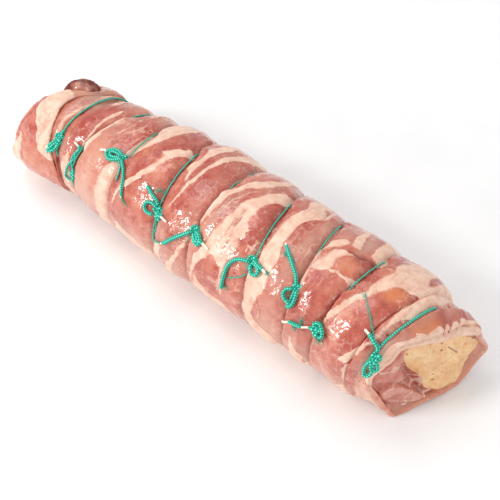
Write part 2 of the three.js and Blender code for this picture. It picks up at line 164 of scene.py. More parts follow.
def lip_depth(phi):
    """The smooth line through the table LIP_DEPTH, read all the way round."""
    return curve(signed(phi), *LIP_DEPTH.T, lap=360)


def lip_thick(phi):
    """The smooth line through the table LIP_THICK, read all the way round."""
    return curve(signed(phi), *LIP_THICK.T, lap=360)


def skin(rows, columns, loop):
    """Triangles of a grid of points, closed round its columns. loop closes the rows too, or else
    each end is closed onto one more point, put after the grid, first end first."""
    j = np.arange(columns)
    k = (j + 1) % columns
    i = np.arange(rows if loop else rows - 1)[:, None]
    n = (i + 1) % rows
    a, b = (i * columns + j).ravel(), (i * columns + k).ravel()
    c, d = (n * columns + k).ravel(), (n * columns + j).ravel()
    faces = [np.stack([a, b, c], 1), np.stack([a, c, d], 1)]
    if not loop:
        last, first_point = (rows - 1) * columns, 0 * j + rows * columns
        faces.append(np.stack([first_point, k, j], 1))
        faces.append(np.stack([first_point + 1, last + j, last + k], 1))
    return np.concatenate(faces)


def make(name, points, faces, material, slot, *nodes, **marks):
    """A piece from points in millimetres and triangles, turned to face outward by the sign of its
    volume. marks are values kept at the points for the material."""
    a, b, c = (points[faces[:, k]] for k in range(3))
    if np.einsum("ij,ij->i", a, np.cross(b, c)).sum() < 0:
        faces = faces[:, ::-1]
    mesh = bpy.data.meshes.new(name)
    mesh.vertices.add(len(points))
    mesh.vertices.foreach_set("co", ((points + [AIM, 0, 0]) * 0.001).astype(np.float32).ravel())
    mesh.loops.add(faces.size)
    mesh.loops.foreach_set("vertex_index", np.ascontiguousarray(faces, np.int32).ravel())
    mesh.polygons.add(len(faces))
    mesh.polygons.foreach_set("loop_start", np.arange(0, faces.size, 3, dtype=np.int32))
    mesh.polygons.foreach_set("use_smooth", np.ones(len(faces), bool))
    mesh.update(calc_edges=True)
    for kind, values in marks.items():
        kept = mesh.attributes.new(kind, "FLOAT", "POINT")
        kept.data.foreach_set("value", np.ravel(values).astype(np.float32))
    mesh.materials.append(material)
    piece = bpy.data.objects.new(name, mesh)
    bpy.context.scene.collection.objects.link(piece)
    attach(piece, "root")
    if nodes:
        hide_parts(*nodes)
    return piece


def colour(red, green, blue):
    """A colour given as 0 to 255 on a screen, as light: ((c + 0.055) / 1.055) ^ 2.4."""
    return tuple(((c / 255 + 0.055) / 1.055) ** 2.4 for c in (red, green, blue)) + (1.0,)


def node(tree, kind, sockets=None, **settings):
    """A shader node. Each socket is given a value, or linked to another node's output."""
    made = tree.nodes.new("ShaderNode" + kind)
    for key, value in settings.items():
        setattr(made, key, value)
    for key, value in (sockets or {}).items():
        if isinstance(value, bpy.types.NodeSocket):
            tree.links.new(value, made.inputs[key])
        else:
            made.inputs[key].default_value = value
    return made


def mark(tree, name):
    """The value that the piece keeps at its points under that name."""
    return node(tree, "Attribute", attribute_name=name).outputs["Fac"]


def mixed(tree, share, a, b):
    """a (1 - share) + b share, as a colour"""
    return node(tree, "Mix", {0: share, 6: a, 7: b}, data_type="RGBA").outputs[2]


def product(tree, a, b):
    """a b"""
    return node(tree, "Math", {0: a, 1: b}, operation="MULTIPLY").outputs[0]


def sum_of(tree, a, b):
    """a + b"""
    return node(tree, "Math", {0: b, 1: a}, operation="ADD").outputs[0]


def ramp(tree, value, low, high, to_low=0.0, to_high=1.0):
    """A straight line from (low, to_low) to (high, to_high), level beyond both."""
    return node(tree, "MapRange", {"Value": value, "From Min": low, "From Max": high,
                                   "To Min": to_low, "To Max": to_high}).outputs[0]


def speckle(tree, size, detail=2.0, squeeze=(1, 1, 1), rough=0.5):
    """Noise with features of the given size in millimetres, squeezed along the axes."""
    place = node(tree, "TexCoord").outputs["Object"]
    place = node(tree, "Mapping", {"Vector": place, "Scale": squeeze}).outputs[0]
    return node(tree, "TexNoise", {"Vector": place, "Scale": 1000.0 / size, "Detail": detail,
                                   "Roughness": rough}).outputs["Fac"]


def bundles(tree):
    """Muscle bundles: wavering cells about 5 mm wide. Gives a number for each cell, and the
    distance to its edge."""
    place = node(tree, "TexCoord").outputs["Object"]
    waver = node(tree, "TexNoise", {"Vector": place, "Scale": 170.0, "Detail": 2.0}).outputs["Color"]
    place = node(tree, "VectorMath", {0: waver, 1: (0.006, 0.006, 0.006), 2: place},
                 operation="MULTIPLY_ADD").outputs[0]
    cells = {"Vector": place, "Scale": 190.0}
    edge = node(tree, "TexVoronoi", cells, feature="DISTANCE_TO_EDGE").outputs["Distance"]
    shade = node(tree, "TexVoronoi", cells).outputs["Color"]
    return node(tree, "SeparateColor", {0: shade}).outputs[0], edge


def wet_meat(name, deep_lean, lean, pale_lean, fat, warm_fat, orange, coat):
    """Raw meat: lean that goes from pale to deep by the mark deep, greyed by the mark grey, fat by
    the mark fat with a fine broken edge, orange by the mark glow and dried or shaded by the mark
    dark, all under a film of water."""
    material = bpy.data.materials.new(name)
    material.use_nodes = True
    tree = material.node_tree
    shader = tree.nodes["Principled BSDF"]
    fine = speckle(tree, 0.8, 3.0)
    mottle = speckle(tree, 4.0, 3.0)
    cloud = speckle(tree, 12.0, 3.0, (1, 1.01, 1.02))
    fibre = speckle(tree, 1.5, 2.0, (2.6, 0.7, 0.7))
    depth = sum_of(tree, mark(tree, "deep"), ramp(tree, mottle, 0.3, 0.7, -0.24, 0.24))
    depth = sum_of(tree, depth, ramp(tree, cloud, 0.32, 0.68, -0.22, 0.22))
    meat = mixed(tree, ramp(tree, depth, 0.0, 0.5), pale_lean, lean)
    meat = mixed(tree, ramp(tree, depth, 0.5, 1.0), meat, deep_lean)
    meat = mixed(tree, ramp(tree, fibre, 0.5, 0.75, 0.0, 0.22), meat, pale_lean)
    # the bundles differ a little in red, with thin pale skins between them in places
    tone, edge = bundles(tree)
    meat = mixed(tree, ramp(tree, tone, 0.0, 1.0, 0.0, 0.26), meat, pale_lean)
    skins = product(tree, ramp(tree, edge, 0.0, 0.08, 0.3, 0.0), ramp(tree, cloud, 0.48, 0.64))
    meat = mixed(tree, skins, meat, fat)
    meat = mixed(tree, mark(tree, "grey"), meat, colour(204, 156, 136))
    meat = mixed(tree, ramp(tree, mark(tree, "glow"), 0.0, 1.0, 0.0, 0.8), meat, orange)
    tallow = mixed(tree, ramp(tree, mottle, 0.35, 0.65), fat, warm_fat)
    tallow = mixed(tree, ramp(tree, fibre, 0.5, 0.75, 0.0, 0.25), tallow, pale_lean)
    broken = sum_of(tree, mark(tree, "fat"), ramp(tree, fine, 0.25, 0.75, -0.25, 0.25))
    base = mixed(tree, ramp(tree, broken, 0.15, 0.85), meat, tallow)
    base = mixed(tree, mark(tree, "dark"), base, colour(104, 28, 18))
    tree.links.new(base, shader.inputs["Base Color"])
    tree.links.new(ramp(tree, mottle, 0.3, 0.7, 0.36, 0.52), shader.inputs["Roughness"])
    shader.inputs["Subsurface Weight"].default_value = 0.18
    shader.inputs["Subsurface Radius"].default_value = (1.0, 0.45, 0.3)
    shader.inputs["Subsurface Scale"].default_value = 0.0022
    shader.inputs["Specular IOR Level"].default_value = 0.25
    # the film is thinner on fat and almost gone where the mark dark is strong: on the dried tip, and where
    # shade is painted in creases
    film = product(tree, ramp(tree, mark(tree, "dark"), 0.1, 0.8, coat, 0.1 * coat),
                   ramp(tree, mark(tree, "fat"), 0.2, 0.9, 1.0, 0.25))
    tree.links.new(film, shader.inputs["Coat Weight"])
    shader.inputs["Coat Roughness"].default_value = 0.105
    shader.inputs["Coat IOR"].default_value = 1.6
    relief = node(tree, "Bump", {"Height": fine, "Strength": 0.3, "Distance": 0.0002})
    relief = node(tree, "Bump", {"Height": fibre, "Strength": 0.3, "Distance": 0.0004,
                                 "Normal": relief.outputs[0]})
    waves = node(tree, "Bump", {"Height": speckle(tree, 2.4, 2.0), "Strength": 0.46, "Distance": 0.0006})
    tree.links.new(relief.outputs[0], shader.inputs["Normal"])
    tree.links.new(waves.outputs[0], shader.inputs["Coat Normal"])
    return material


# fat is also the colour of the painted highlight lines on the cut face
tenderloin_meat = wet_meat("tenderloin_meat", deep_lean=colour(150, 46, 32), lean=colour(194, 90, 70),
                           pale_lean=colour(216, 144, 122), fat=colour(255, 230, 212),
                           warm_fat=colour(238, 196, 174), orange=colour(226, 150, 105), coat=1.0)

# The outline of the filling on the cut face, in y and z, and its middle
FILL_EDGE = np.array([[-14, 36], [-13.4, 46], [-5, 46], [3, 45], [12, 41], [23, 34], [30, 26],
                      [31.4, 22.6], [25, 16.6], [21, 10], [19, 3.4], [13.5, 1.6], [5.5, 3], [0.4, 6.6],
                      [-2.4, 10.1], [-5.6, 19.6], [-10.4, 29.3]])
FILL_MIDDLE = np.array([8.0, 22.0])


def fill_reach(angle):
    """Distance from the middle to the outline, a smooth line through its points by angle, with
    small random waves."""
    spoke = FILL_EDGE - FILL_MIDDLE
    turn = np.arctan2(spoke[:, 1], spoke[:, 0])
    order = np.argsort(turn)
    smooth = curve(angle, turn[order], np.hypot(*spoke.T)[order], lap=2 * np.pi)
    y, z = 9 * np.cos(angle), 9 * np.sin(angle)
    return smooth + 0.9 * grain(y + 50, z + 50, 0, 2.2) + 0.45 * grain(y + 80, z + 80, 0, 0.8)


def cut_face(y, z):
    """How far the lean stands forward on the cut face: a lobe below one slanting line, another
    above a second, each a step that fades away from its line, a hollow beside the filling, folds
    as a wavering sine in the near corner, and soft relief."""
    below = np.interp(y, [-36, -27, -23.5, -18, -11.6, -2, 3, 40],
                      [20, 24.8, 26.5, 24.2, 16.5, 4.6, 0, -4]) - z
    above = z - np.interp(y, [-36, -29, -17, -10, 40], [31, 30.4, 26.8, 24, 20])
    low_lobe = 3.4 * step(-0.5, 1.4, below) * np.exp(-np.maximum(below, 0) / 12)
    high_lobe = 1.8 * step(-0.2, 1.0, above) * np.exp(-np.maximum(above, 0) / 7) * step(-10, -16, y)
    t = np.clip(((y + 13) * 9 + (z - 34) * -23) / 610, 0, 1)
    hollow = 3.0 * np.exp(-((y + 13 - 9 * t) ** 2 + (z - 34 + 23 * t) ** 2) / 12)
    waver = 1.4 * grain(y + 90, z + 90, 0 * y, 12)
    folds = 0.4 * np.sin((y * 0.55 + z * 0.62) / 2.2 + waver) * step(-6, -14, y) * step(26, 18, z)
    relief = 1.1 * grain(y + 40, z + 70, 0 * y, 10) + 0.35 * grain(y + 40, z + 70, 0 * y, 3.2)
    return low_lobe + high_lobe - hollow + folds + relief


def with_ends(values, end=0.0):
    """Values at the points of a grid, and the same end value at each of its two closing points."""
    return np.r_[np.ravel(values), end, end]


# rows from the far end towards the mouth, then up to it, then over the cut face to its middle;
# size is how far a row reaches from the middle, share how far it has gone over to the mouth
MOUTH_ROWS, FACE_ROWS = 14, 59
core_x = np.r_[-154, -153, -151.5, np.linspace(-150, -124, 40),
               -118, -104, -90, -65, -40, -10, 20, 50, 75, 85]
core_size = np.r_[0.45, 0.72, 0.86, 0.93, 0.98, np.ones(len(core_x) - 5)]
start = np.r_[core_x, np.full(MOUTH_ROWS + FACE_ROWS, core_x[-1])][:, None]
size = np.r_[core_size, np.ones(MOUTH_ROWS), np.linspace(1, 0.02, FACE_ROWS + 1)[1:]][:, None]
share = np.r_[0 * core_x, np.linspace(0.08, 1, MOUTH_ROWS), np.ones(FACE_ROWS)][:, None]

# the tip: a low ragged lump along the top of the far end, from phi 104 at its left to 122
along_tip = (start + 150) / 18
tip_phi = 104 + 18 * np.clip(along_tip, 0, 1)
tip_left = step(0.0, 0.3, along_tip + 0.05 * grain(PHI / 4, 0 * PHI, 7.7, 1))
tip = np.exp(-((PHI - tip_phi) / 15) ** 4) * tip_left * step(1.2, 0.8, along_tip)
tip_height = 6.6 + 2.6 * step(0, 0.4, along_tip) - 3.4 * step(0.5, 1.0, along_tip)

# x is found by repeated steps, since the plane of the mouth depends on y and z
full = WALL + 0.8 - tip_height * tip
depth = full + (np.maximum(full, lip_depth(PHI) + lip_thick(PHI) + 0.2) - full) * share ** 2
x = start + (118 - start) * share
for _ in range(6):
    rim = on_roll(x, PHI, depth)
    middle_z = on_roll(x, 90, WALL)[..., 2] / 2 + 1
    y = rim[..., 1] * size
    z = middle_z + (rim[..., 2] - middle_z) * size
    x = start + (mouth_x(y, z) - 2.6 - start) * share

# the cut face is sculpted, with a pit behind the filling
angle = np.arctan2(z - FILL_MIDDLE[1], y - FILL_MIDDLE[0])
beyond = np.hypot(y - FILL_MIDDLE[0], z - FILL_MIDDLE[1]) - fill_reach(angle)
on_face = share * step(1.0, 0.93, size + 0 * PHI)
forward = cut_face(y, z) * step(-1, 3, beyond) - 9 * step(-0.6, -2.6, beyond)
x = x + on_face * forward + 0.35 * grain(x + 300, y + 90, z + 90, 4) * (1 - on_face)
points = np.stack([x, y, z], -1)
ragged = grain(x + 400, y + 99, z + 99, 3.0) + 0.6 * grain(x + 400, y + 99, z + 99, 1.2)
dip = np.exp(-((PHI - tip_phi) / 7) ** 2) * step(0.1, 0.3, along_tip) * step(0.9, 0.7, along_tip)
tip_up = 1.3 * grain(x + 200, y + 99, z + 99, 4.5) + ragged - 1.6 * dip
points += (tip * (1 - share))[..., None] * np.stack([0.8 * ragged, 0 * x, tip_up], -1)
ends = np.stack([points[0].mean(0), points[-1].mean(0)])

# its colour: pale skins, a painted highlight along the edge of the upper lobe and a painted highlight line
# round the lower face, the lean deeper red in the face's hollows as painted shade and paler on its lobes as
# painted light, and the tip dried all over but for a pink spot
web = np.maximum(step(0.5, 0.95, 1 - 7 * np.abs(grain(y + 150, z + 50, 0 * y, 10) - 0.05)),
                 0.7 * step(0.4, 0.95, 1 - 6 * np.abs(grain(y + 50, z + 150, 0 * y, 5))))
from_edge = z - np.interp(y, [-36, -29, -17, -10], [31, 30.2, 26.4, 23])
# painted highlight: a bright line along the wet edge of the upper lobe
painted_edge_highlight = np.exp(-(from_edge / 0.45) ** 2) * step(-12, -17, y)
# painted highlight: a bright line round the lower part of the face, near its rim
from_rim = size - 0.93 - 0.01 * grain(PHI / 6, 0 * PHI, 3.3, 1)
painted_rim_highlight = np.exp(-(from_rim / 0.012) ** 2) * bell(PHI, -85, 32)
pale = np.clip(0.6 * web + painted_edge_highlight + painted_rim_highlight + 0.35 * step(14, 26, y), 0, 1) * on_face
# over random tone, the lean is deeper red where the cut face lies back and paler where it stands forward:
# painted shade in its hollows and painted light on its lobes
deep = np.clip(0.5 + 0.45 * grain(y + 20, z + 30, x + 400, 12) - 0.12 * cut_face(y, z) * on_face, 0, 1)
pink = (np.exp(-((PHI - tip_phi + 12) / 7) ** 2) * step(0.3, 0.55, along_tip)
        * step(1.0, 0.85, along_tip))
dried = np.clip(step(0.02, 0.3, tip) * (0.95 + 0.5 * ragged - 0.95 * pink), 0, 0.92)
make("tenderloin_lean", np.concatenate([points.reshape(-1, 3), ends]), skin(len(start), COLUMNS, False),
     tenderloin_meat, "tenderloin_meat", "tenderloin",
     fat=with_ends(pale), deep=with_ends(deep, 0.5), glow=with_ends(0 * x), dark=with_ends(dried),
     grey=with_ends(0.25 * on_face * step(20, 4, z) + 0.6 * tip * (1 - share)))

# ------------------------------------------------------------------ stuffing
# A soft pale filling of bread and meat, packed through the whole core. It was cut with the end
# and stands a little proud of the lean, with brown specks and one dark red thread in it.


def stuffing_crumb():
    """Cream that clouds into warmer cream, with pinkish patches, pale crumbs and brown spots of
    herb in some of the cells, and dark red by the mark dark, under a thin wet film."""
    material = bpy.data.materials.new("stuffing_crumb")
    material.use_nodes = True
    tree = material.node_tree
    shader = tree.nodes["Principled BSDF"]
    cloud = speckle(tree, 7.0, 3.0)
    crumb = speckle(tree, 1.1, 4.0, rough=0.65)
    base = mixed(tree, ramp(tree, cloud, 0.38, 0.62), colour(250, 207, 152), colour(238, 181, 124))
    base = mixed(tree, ramp(tree, speckle(tree, 3.0, 2.0), 0.56, 0.7, 0, 0.3), base, colour(214, 146, 112))
    base = mixed(tree, ramp(tree, crumb, 0.46, 0.72, 0, 0.6), base, colour(252, 226, 184))
    cells = node(tree, "TexVoronoi", {"Vector": node(tree, "TexCoord").outputs["Object"], "Scale": 210.0})
    spot = ramp(tree, cells.outputs["Distance"], 0.10, 0.17, 1.0, 0.0)
    some = ramp(tree, node(tree, "SeparateColor", {0: cells.outputs["Color"]}).outputs[0], 0.62, 0.66)
    base = mixed(tree, product(tree, spot, some), base, colour(150, 84, 48))
    base = mixed(tree, mark(tree, "dark"), base, colour(112, 22, 20))
    tree.links.new(base, shader.inputs["Base Color"])
    tree.links.new(ramp(tree, crumb, 0.3, 0.7, 0.4, 0.62), shader.inputs["Roughness"])
    shader.inputs["Subsurface Weight"].default_value = 0.2
    shader.inputs["Subsurface Radius"].default_value = (1.0, 0.6, 0.35)
    shader.inputs["Subsurface Scale"].default_value = 0.002
    tree.links.new(ramp(tree, mark(tree, "wet"), 0.0, 1.0, 0.25, 1.0), shader.inputs["Coat Weight"])
    shader.inputs["Coat Roughness"].default_value = 0.14
    relief = node(tree, "Bump", {"Height": crumb, "Strength": 0.7, "Distance": 0.0005})
    tree.links.new(relief.outputs[0], shader.inputs["Normal"])
    return material


# Dark specks on the cut face: y, z, radius, strength
SPECKS = [(15, 27.4, 0.55, 1), (5.8, 25.1, 0.4, 0.8), (8.7, 15.7, 0.5, 0.6), (0, 16.1, 0.5, 0.8),
          (23.3, 18, 0.7, 0.5), (0.4, 38.2, 1.1, 0.35), (16.4, 17.5, 0.9, 0.3), (10.6, 9.6, 0.8, 0.35),
          (15.2, 6.2, 0.45, 0.6), (9.9, 4.6, 0.4, 0.6), (13.2, 2.8, 0.4, 0.6), (-6, 36, 1.2, 0.25),
          (17, 22, 0.35, 0.5)]

# rows from the far end along the core to the cut face, then over the face to its middle
FILL_COLUMNS = 240
FAR_MIDDLE = np.array([1.0, 30.0])
FAR_X = -130
turn = np.arange(FILL_COLUMNS) * 2 * np.pi / FILL_COLUMNS
size = np.r_[np.linspace(0.3, 0.66, 4), np.full(14, 0.76), np.linspace(0.78, 0.97, 12), 0.985,
             np.linspace(0.97, 0.01, 70)][:, None]
along = np.r_[0, 0.002, 0.008, 0.02, np.linspace(0.05, 0.6, 14), np.linspace(0.64, 0.985, 12), 0.994,
              np.full(70, 1.0)][:, None]
reach = size * fill_reach(turn)
middle = FAR_MIDDLE + (FILL_MIDDLE - FAR_MIDDLE) * step(0.5, 0.9, along)[..., None]
y = middle[..., 0] + reach * np.cos(turn)
z = middle[..., 1] + reach * np.sin(turn)
x = FAR_X + (mouth_x(y, z) - 2.0 - FAR_X) * along
flat = (along >= 0.999) * step(1.0, 0.86, size)

# the face bends away on both sides of a soft ridge that catches the light
away = y - np.interp(z, [9, 16, 22, 29, 35.5], [2.8, 4.2, 4.1, 1.5, -2.5])
bend = (1.6 - 0.16 * np.maximum(-away, 0) ** 1.35 - 0.07 * np.maximum(away, 0)
        + 0.9 * np.exp(-(away / 1.0) ** 2))
lumps = sum(high * grain(y + 60, z + 60, 0 * y, wide) for high, wide in [(0.9, 6), (0.5, 2.6), (0.26, 1.1)])
x = x + flat * (bend + lumps)
wet = flat * np.exp(-((away - 0.4) / 1.1) ** 2) * step(6, 11, z)

# the thread runs from (9.8, 34.9) to (15, 27.4)
t = np.clip(((y - 9.8) * 5.2 + (z - 34.9) * -7.5) / 83.3, 0, 1)
dark = np.exp(-((y - 9.8 - 5.2 * t) ** 2 + (z - 34.9 + 7.5 * t) ** 2) / 0.09)
for speck_y, speck_z, radius, strength in SPECKS:
    dark = dark + strength * np.exp(-((y - speck_y) ** 2 + (z - speck_z) ** 2) / radius ** 2)
points = np.stack([x, y, z], -1)
make("stuffing_filling", np.concatenate([points.reshape(-1, 3), points[[0, -1]].mean(1)]),
     skin(len(size), FILL_COLUMNS, False), stuffing_crumb(), "stuffing_cream", "stuffing",
     dark=with_ends(np.clip(dark * flat, 0, 1)), wet=with_ends(wet))

# ------------------------------------------------------------------ belly slices
# Ten slices of raw streaky belly, each wound once round the core so that its streaks of fat run
# round the roll, and each laid over the edge of the one before; the ties hold them.

# The plane of each tie: x = x0 + a sin(phi) + b cos(phi) + c sin(2 phi)
TIES = [(-119.6, -4, -1.4, -1.2), (-101.5, 0, -8.5, 0), (-75.5, -1, 0, 0), (-44.5, 0, 5, 0),
        (-13, -1, 0.5, 0), (19.5, 0, 7.5, 0), (48.3, 0, 6, 0), (76, 0, -4, 0), (110, 0, -9, 0)]
# Where the edge of the next slice covers each tie: phi and how much, 1 is out of sight
COVERED = [
    [(-60, 1), (12, 1), (24, 0), (150, 0)],
    [(-90, 0.4), (-8, 0.3), (2, 0), (44, 0), (54, 1), (100, 1), (112, 0), (200, 0)],
    [(-90, 0.5), (0, 1), (60, 1), (70, 0), (98, 0), (110, 0.6), (200, 0)],
    [(-90, 0.3), (-5, 0.6), (6, 0), (98, 0), (108, 0.7), (200, 0)],
    [(-90, 0.4), (0, 1), (36, 1), (40, 0.2), (46, 0.5), (52, 1), (82, 1), (92, 0), (104, 0.3), (200, 0)],
    [(-90, 0.4), (0, 1), (38, 1), (46, 0), (104, 0), (114, 0.6), (200, 0)],
    [(-90, 0.3), (0, 1), (30, 1), (48, 0.2), (56, 0.6), (84, 0.6), (94, 0), (118, 0), (130, 0.8),
     (200, 0)],
    [(-90, 0.3), (0, 1), (26, 1), (32, 0.2), (40, 0.8), (68, 0.8), (76, 0), (110, 0), (118, 1),
     (150, 0.7), (200, 0)],
    [(-90, 0.3), (-60, 1), (18, 1), (28, 0), (104, 0), (110, 1.3), (150, 1.0), (200, 0)]]


def tie_x(n, phi):
    """x of tie n at phi, by the formula at TIES."""
    x0, a, b, c = TIES[n]
    r = np.radians(phi)
    return x0 + a * np.sin(r) + b * np.cos(r) + c * np.sin(2 * r)


def covered(n, phi):
    """How much tie n is covered at phi: straight lines between the points of its table."""
    p = np.array(COVERED[n], float)
    return np.interp(phi, p[:, 0], p[:, 1], period=360)


def grain_round(x, phi, size, drawn=1.0, seed=0.0):
    """Soft random relief on the roll: the lattice is read on a cylinder of radius 34 / drawn, so
    its features are drawn out round the roll by that factor."""
    r = np.radians(phi)
    y, z = 34 / drawn * np.cos(r), 34 / drawn * np.sin(r)
    return grain(x + 517.3, y + 300 + 61.7 * seed, z + 300, size)


def upward(phi):
    """The same angle from -60 to 300, which runs from the near side over the top to the back."""
    return (phi + 60) % 360 - 60


def wound(stations, per):
    """Rows of a ring: the line through its stations, each an x and a depth for every phi, with
    per[k] rows on stretch k, by Catmull and Rom's cubic."""
    s = np.array([np.broadcast_arrays(x * np.ones(COLUMNS), d * np.ones(COLUMNS)) for x, d in stations])
    s = np.concatenate([s[:1], s, s[-1:]])
    out = []
    for k, count in enumerate(per):
        a, b, c, d = s[k:k + 4]
        u = (np.arange(count) / count)[:, None, None]
        square, cube = (2 * a - 5 * b + 4 * c - d) * u * u, (3 * b - a - 3 * c + d) * u ** 3
        out.append(0.5 * (2 * b + (c - a) * u + square + cube))
    out.append(s[-2][None])
    both = np.concatenate(out)
    return both[:, 0], both[:, 1]


def table_place(x, relief):
    """Where the tables of a slice are read for each of its points: x and phi moved about by relief
    of several sizes, so that no edge runs straight, and by more of it down the back."""
    read_phi = PHI + 2.4 * relief(8, 12) + 1.1 * relief(3, 13)
    read_x = x + 1.1 * relief(7) + 0.55 * relief(2.6) + 0.22 * relief(1.1)
    return read_x + 4 * step(140, 190, upward(read_phi)) * relief(24, 18), read_phi


def streaks(read_x, read_phi, relief, bands):
    """Fat, from 0 to 1: 1 between the left and the right x of any band, with an edge of varying
    softness. On the side that the tables don't reach it is random relief, drawn out round the
    roll. Lean threads run through it."""
    phi = upward(read_phi)
    soft = 0.35 + 1.6 * step(0.0, 0.5, relief(9, 14, drawn=2))
    fat = 0 * read_x
    for band in bands:
        p = np.array(band, float)
        left, right = (np.interp(phi, p[:, 0], p[:, k]) for k in (1, 2))
        starts = 1.0 if p[0, 0] <= -30 else step(p[0, 0] - 2, p[0, 0] + 1, phi)
        stops = 1.0 if p[-1, 0] >= 128 else step(p[-1, 0] + 2, p[-1, 0] - 1, phi)
        inside = step(-0.7 * soft, soft, np.minimum(read_x - left, right - read_x))
        fat = np.maximum(fat, inside * starts * stops)
    way = phi + 12 * relief(9, 17)
    drawn_up = step(-54, -36, way) * step(285, 262, way)
    plain = step(0.02, 0.3, relief(9, 3, drawn=4) + 0.3 * relief(3))
    fat = fat * drawn_up + plain * (1 - drawn_up)
    return fat * (1 - 0.3 * step(0.22, 0.55, relief(1.7, 15, drawn=6)))


def pale_skins(relief, vein):
    """Thin pale skins in the lean: 1 where relief crosses 0 and less beside it, coarse and fine,
    in clouds, and short threads drawn out round the roll."""
    coarse = 1 - np.abs(relief(7, 5, drawn=1.8) + 0.35 * relief(2.5)) / 0.1
    fine = 1 - np.abs(relief(3.4, 9, drawn=1.6)) / 0.14
    net = np.maximum(0.8 * np.clip(coarse, 0, 1), 0.4 * np.clip(fine, 0, 1))
    threads = 0.25 * step(0.35, 0.65, relief(2.4, 16, drawn=4))
    return np.maximum(vein * net * step(-0.4, 0.3, relief(16, 1)), threads)


belly_meat = wet_meat("belly_meat", deep_lean=colour(168, 46, 30), lean=colour(196, 98, 76),
                      pale_lean=colour(218, 149, 125), fat=colour(244, 209, 187),
                      warm_fat=colour(232, 185, 161), orange=colour(224, 132, 76), coat=0.9)
TOPS = []           # outside x and depth of each finished slice, for what lies on it
PHI_REACH = 0.6     # millimetres round the roll for one degree


def wrap(number, outside, inside, per_out, per_in, bands, patches=(), folds=(), vein=0.5, lumps=1.0,
         more=None):
    """One slice: a closed ring through its outside stations and back through its inside ones.
    bands are streaks of fat, each rows of phi, left and right x. patches are (mark, x, phi, reach
    in x, reach in phi, amount) soft spots, and folds are (x, phi, x, phi, width, depth) pressed
    lines, darkened along them as painted shade. vein is the strength of the pale skins, lumps of the soft
    relief."""
    x, depth = wound(outside, per_out)
    in_x, in_depth = wound(inside, per_in)
    left, right = x[:1], x[-1:]

    def relief(size, own=0, drawn=1.0):
        return grain_round(x, PHI, size, drawn=drawn, seed=number + own)

    read_x, read_phi = table_place(x, relief)
    fat = streaks(read_x, read_phi, relief, bands)
    marks = {"fat": np.maximum(fat, pale_skins(relief, vein) * (1 - fat)),
             "deep": 0.6 + 0.5 * relief(15, drawn=1.5) + 0.2 * relief(5),
             "grey": 0 * x, "glow": 0 * x, "dark": 0 * x}
    for kind, at_x, at_phi, reach_x, reach_phi, amount in patches:
        far = ((read_x - at_x) / reach_x) ** 2 + (signed(read_phi - at_phi) / reach_phi) ** 2
        marks[kind] = marks[kind] + amount * np.exp(-far)
    marks["grey"] = marks["grey"] + 0.55 * step(8, -24, np.abs(signed(PHI + 90)) - 60)
    # painted shade: darker in the groove just before the next slice's edge, where this slice passes under
    # it
    if number in range(2, 9):
        marks["dark"] = marks["dark"] + 0.28 * np.exp(-((x - right + 8) / 1.8) ** 2)
    if more:
        more(marks, x, depth)

    # relief: soft lumps, raised fat, puckers that run away from the edges, and pressed folds
    r = np.arange(len(x))[:, None] / (len(x) - 1)
    lump = lumps * (0.9 * relief(22, 2) + 0.45 * relief(9, 4))
    rise = 0.3 * marks["fat"] + 0.2 * relief(3.2, 6, drawn=1.5) + 0.08 * relief(1.4)
    near = np.exp(-(x - left) / 5.0) + np.exp(-np.abs(right - 7 - x) / 5.0)
    pucker = 0.55 * near * grain_round(x * 0.35, PHI, 3.2, seed=number + 7)
    depth = (depth - np.minimum(step(0, 0.12, r), step(1, 0.8, r)) * (lump + rise)
             - np.minimum(step(0, 0.03, r), step(1, 0.85, r)) * pucker)
    for x1, phi1, x2, phi2, width, pressed in folds:
        dx, dp = x2 - x1, (phi2 - phi1) * PHI_REACH
        ax, ap = read_x - x1, signed(read_phi - phi1) * PHI_REACH
        t = np.clip((ax * dx + ap * dp) / (dx * dx + dp * dp), 0, 1)
        on_line = np.exp(-((ax - t * dx) ** 2 + (ap - t * dp) ** 2) / width ** 2)
        depth = depth + pressed * on_line
        # painted shade along the bottom of each fold, stronger for deeper folds
        marks["dark"] = marks["dark"] + 0.35 * min(1, pressed / 1.2) * on_line ** 2
    depth = np.maximum(depth, -2.5)
    TOPS.append((x, depth))

    # inside, the lean runs on as at the right end, and its last half is as the left end
    values = {}
    for kind, outer in marks.items():
        inner = np.repeat(outer[-1:] * (kind == "deep"), len(in_x), 0)
        if kind in ("fat", "deep"):
            inner[-(len(in_x) // 2):] = outer[:1]
        values[kind] = np.clip(np.concatenate([outer, inner]), 0, 1)
    points = on_roll(np.concatenate([x, in_x]), PHI, np.concatenate([depth, in_depth]))
    return make(f"belly_{number:02d}", points.reshape(-1, 3), skin(len(points), COLUMNS, True), belly_meat,
                "belly_meat", f"belly_slice_{number:02d}", **values)


def rounded(x, top, bottom, side):
    """Four stations round an edge: half a turn from the top depth to the bottom one."""
    m, r = (top + bottom) / 2, (bottom - top) / 2
    return [(x + side * r * (np.sin(a) - 1), m - r * np.cos(a)) for a in np.radians([40, 75, 105, 140])]


def edge_wave(number):
    """Small random waves of a free edge, along phi: coarse relief, and finer relief on it."""
    coarse = grain_round(0 * PHI, PHI, 9, seed=number + 20)
    return 0.7 * coarse + 0.3 * grain_round(0 * PHI, PHI, 2.4, seed=number + 21)


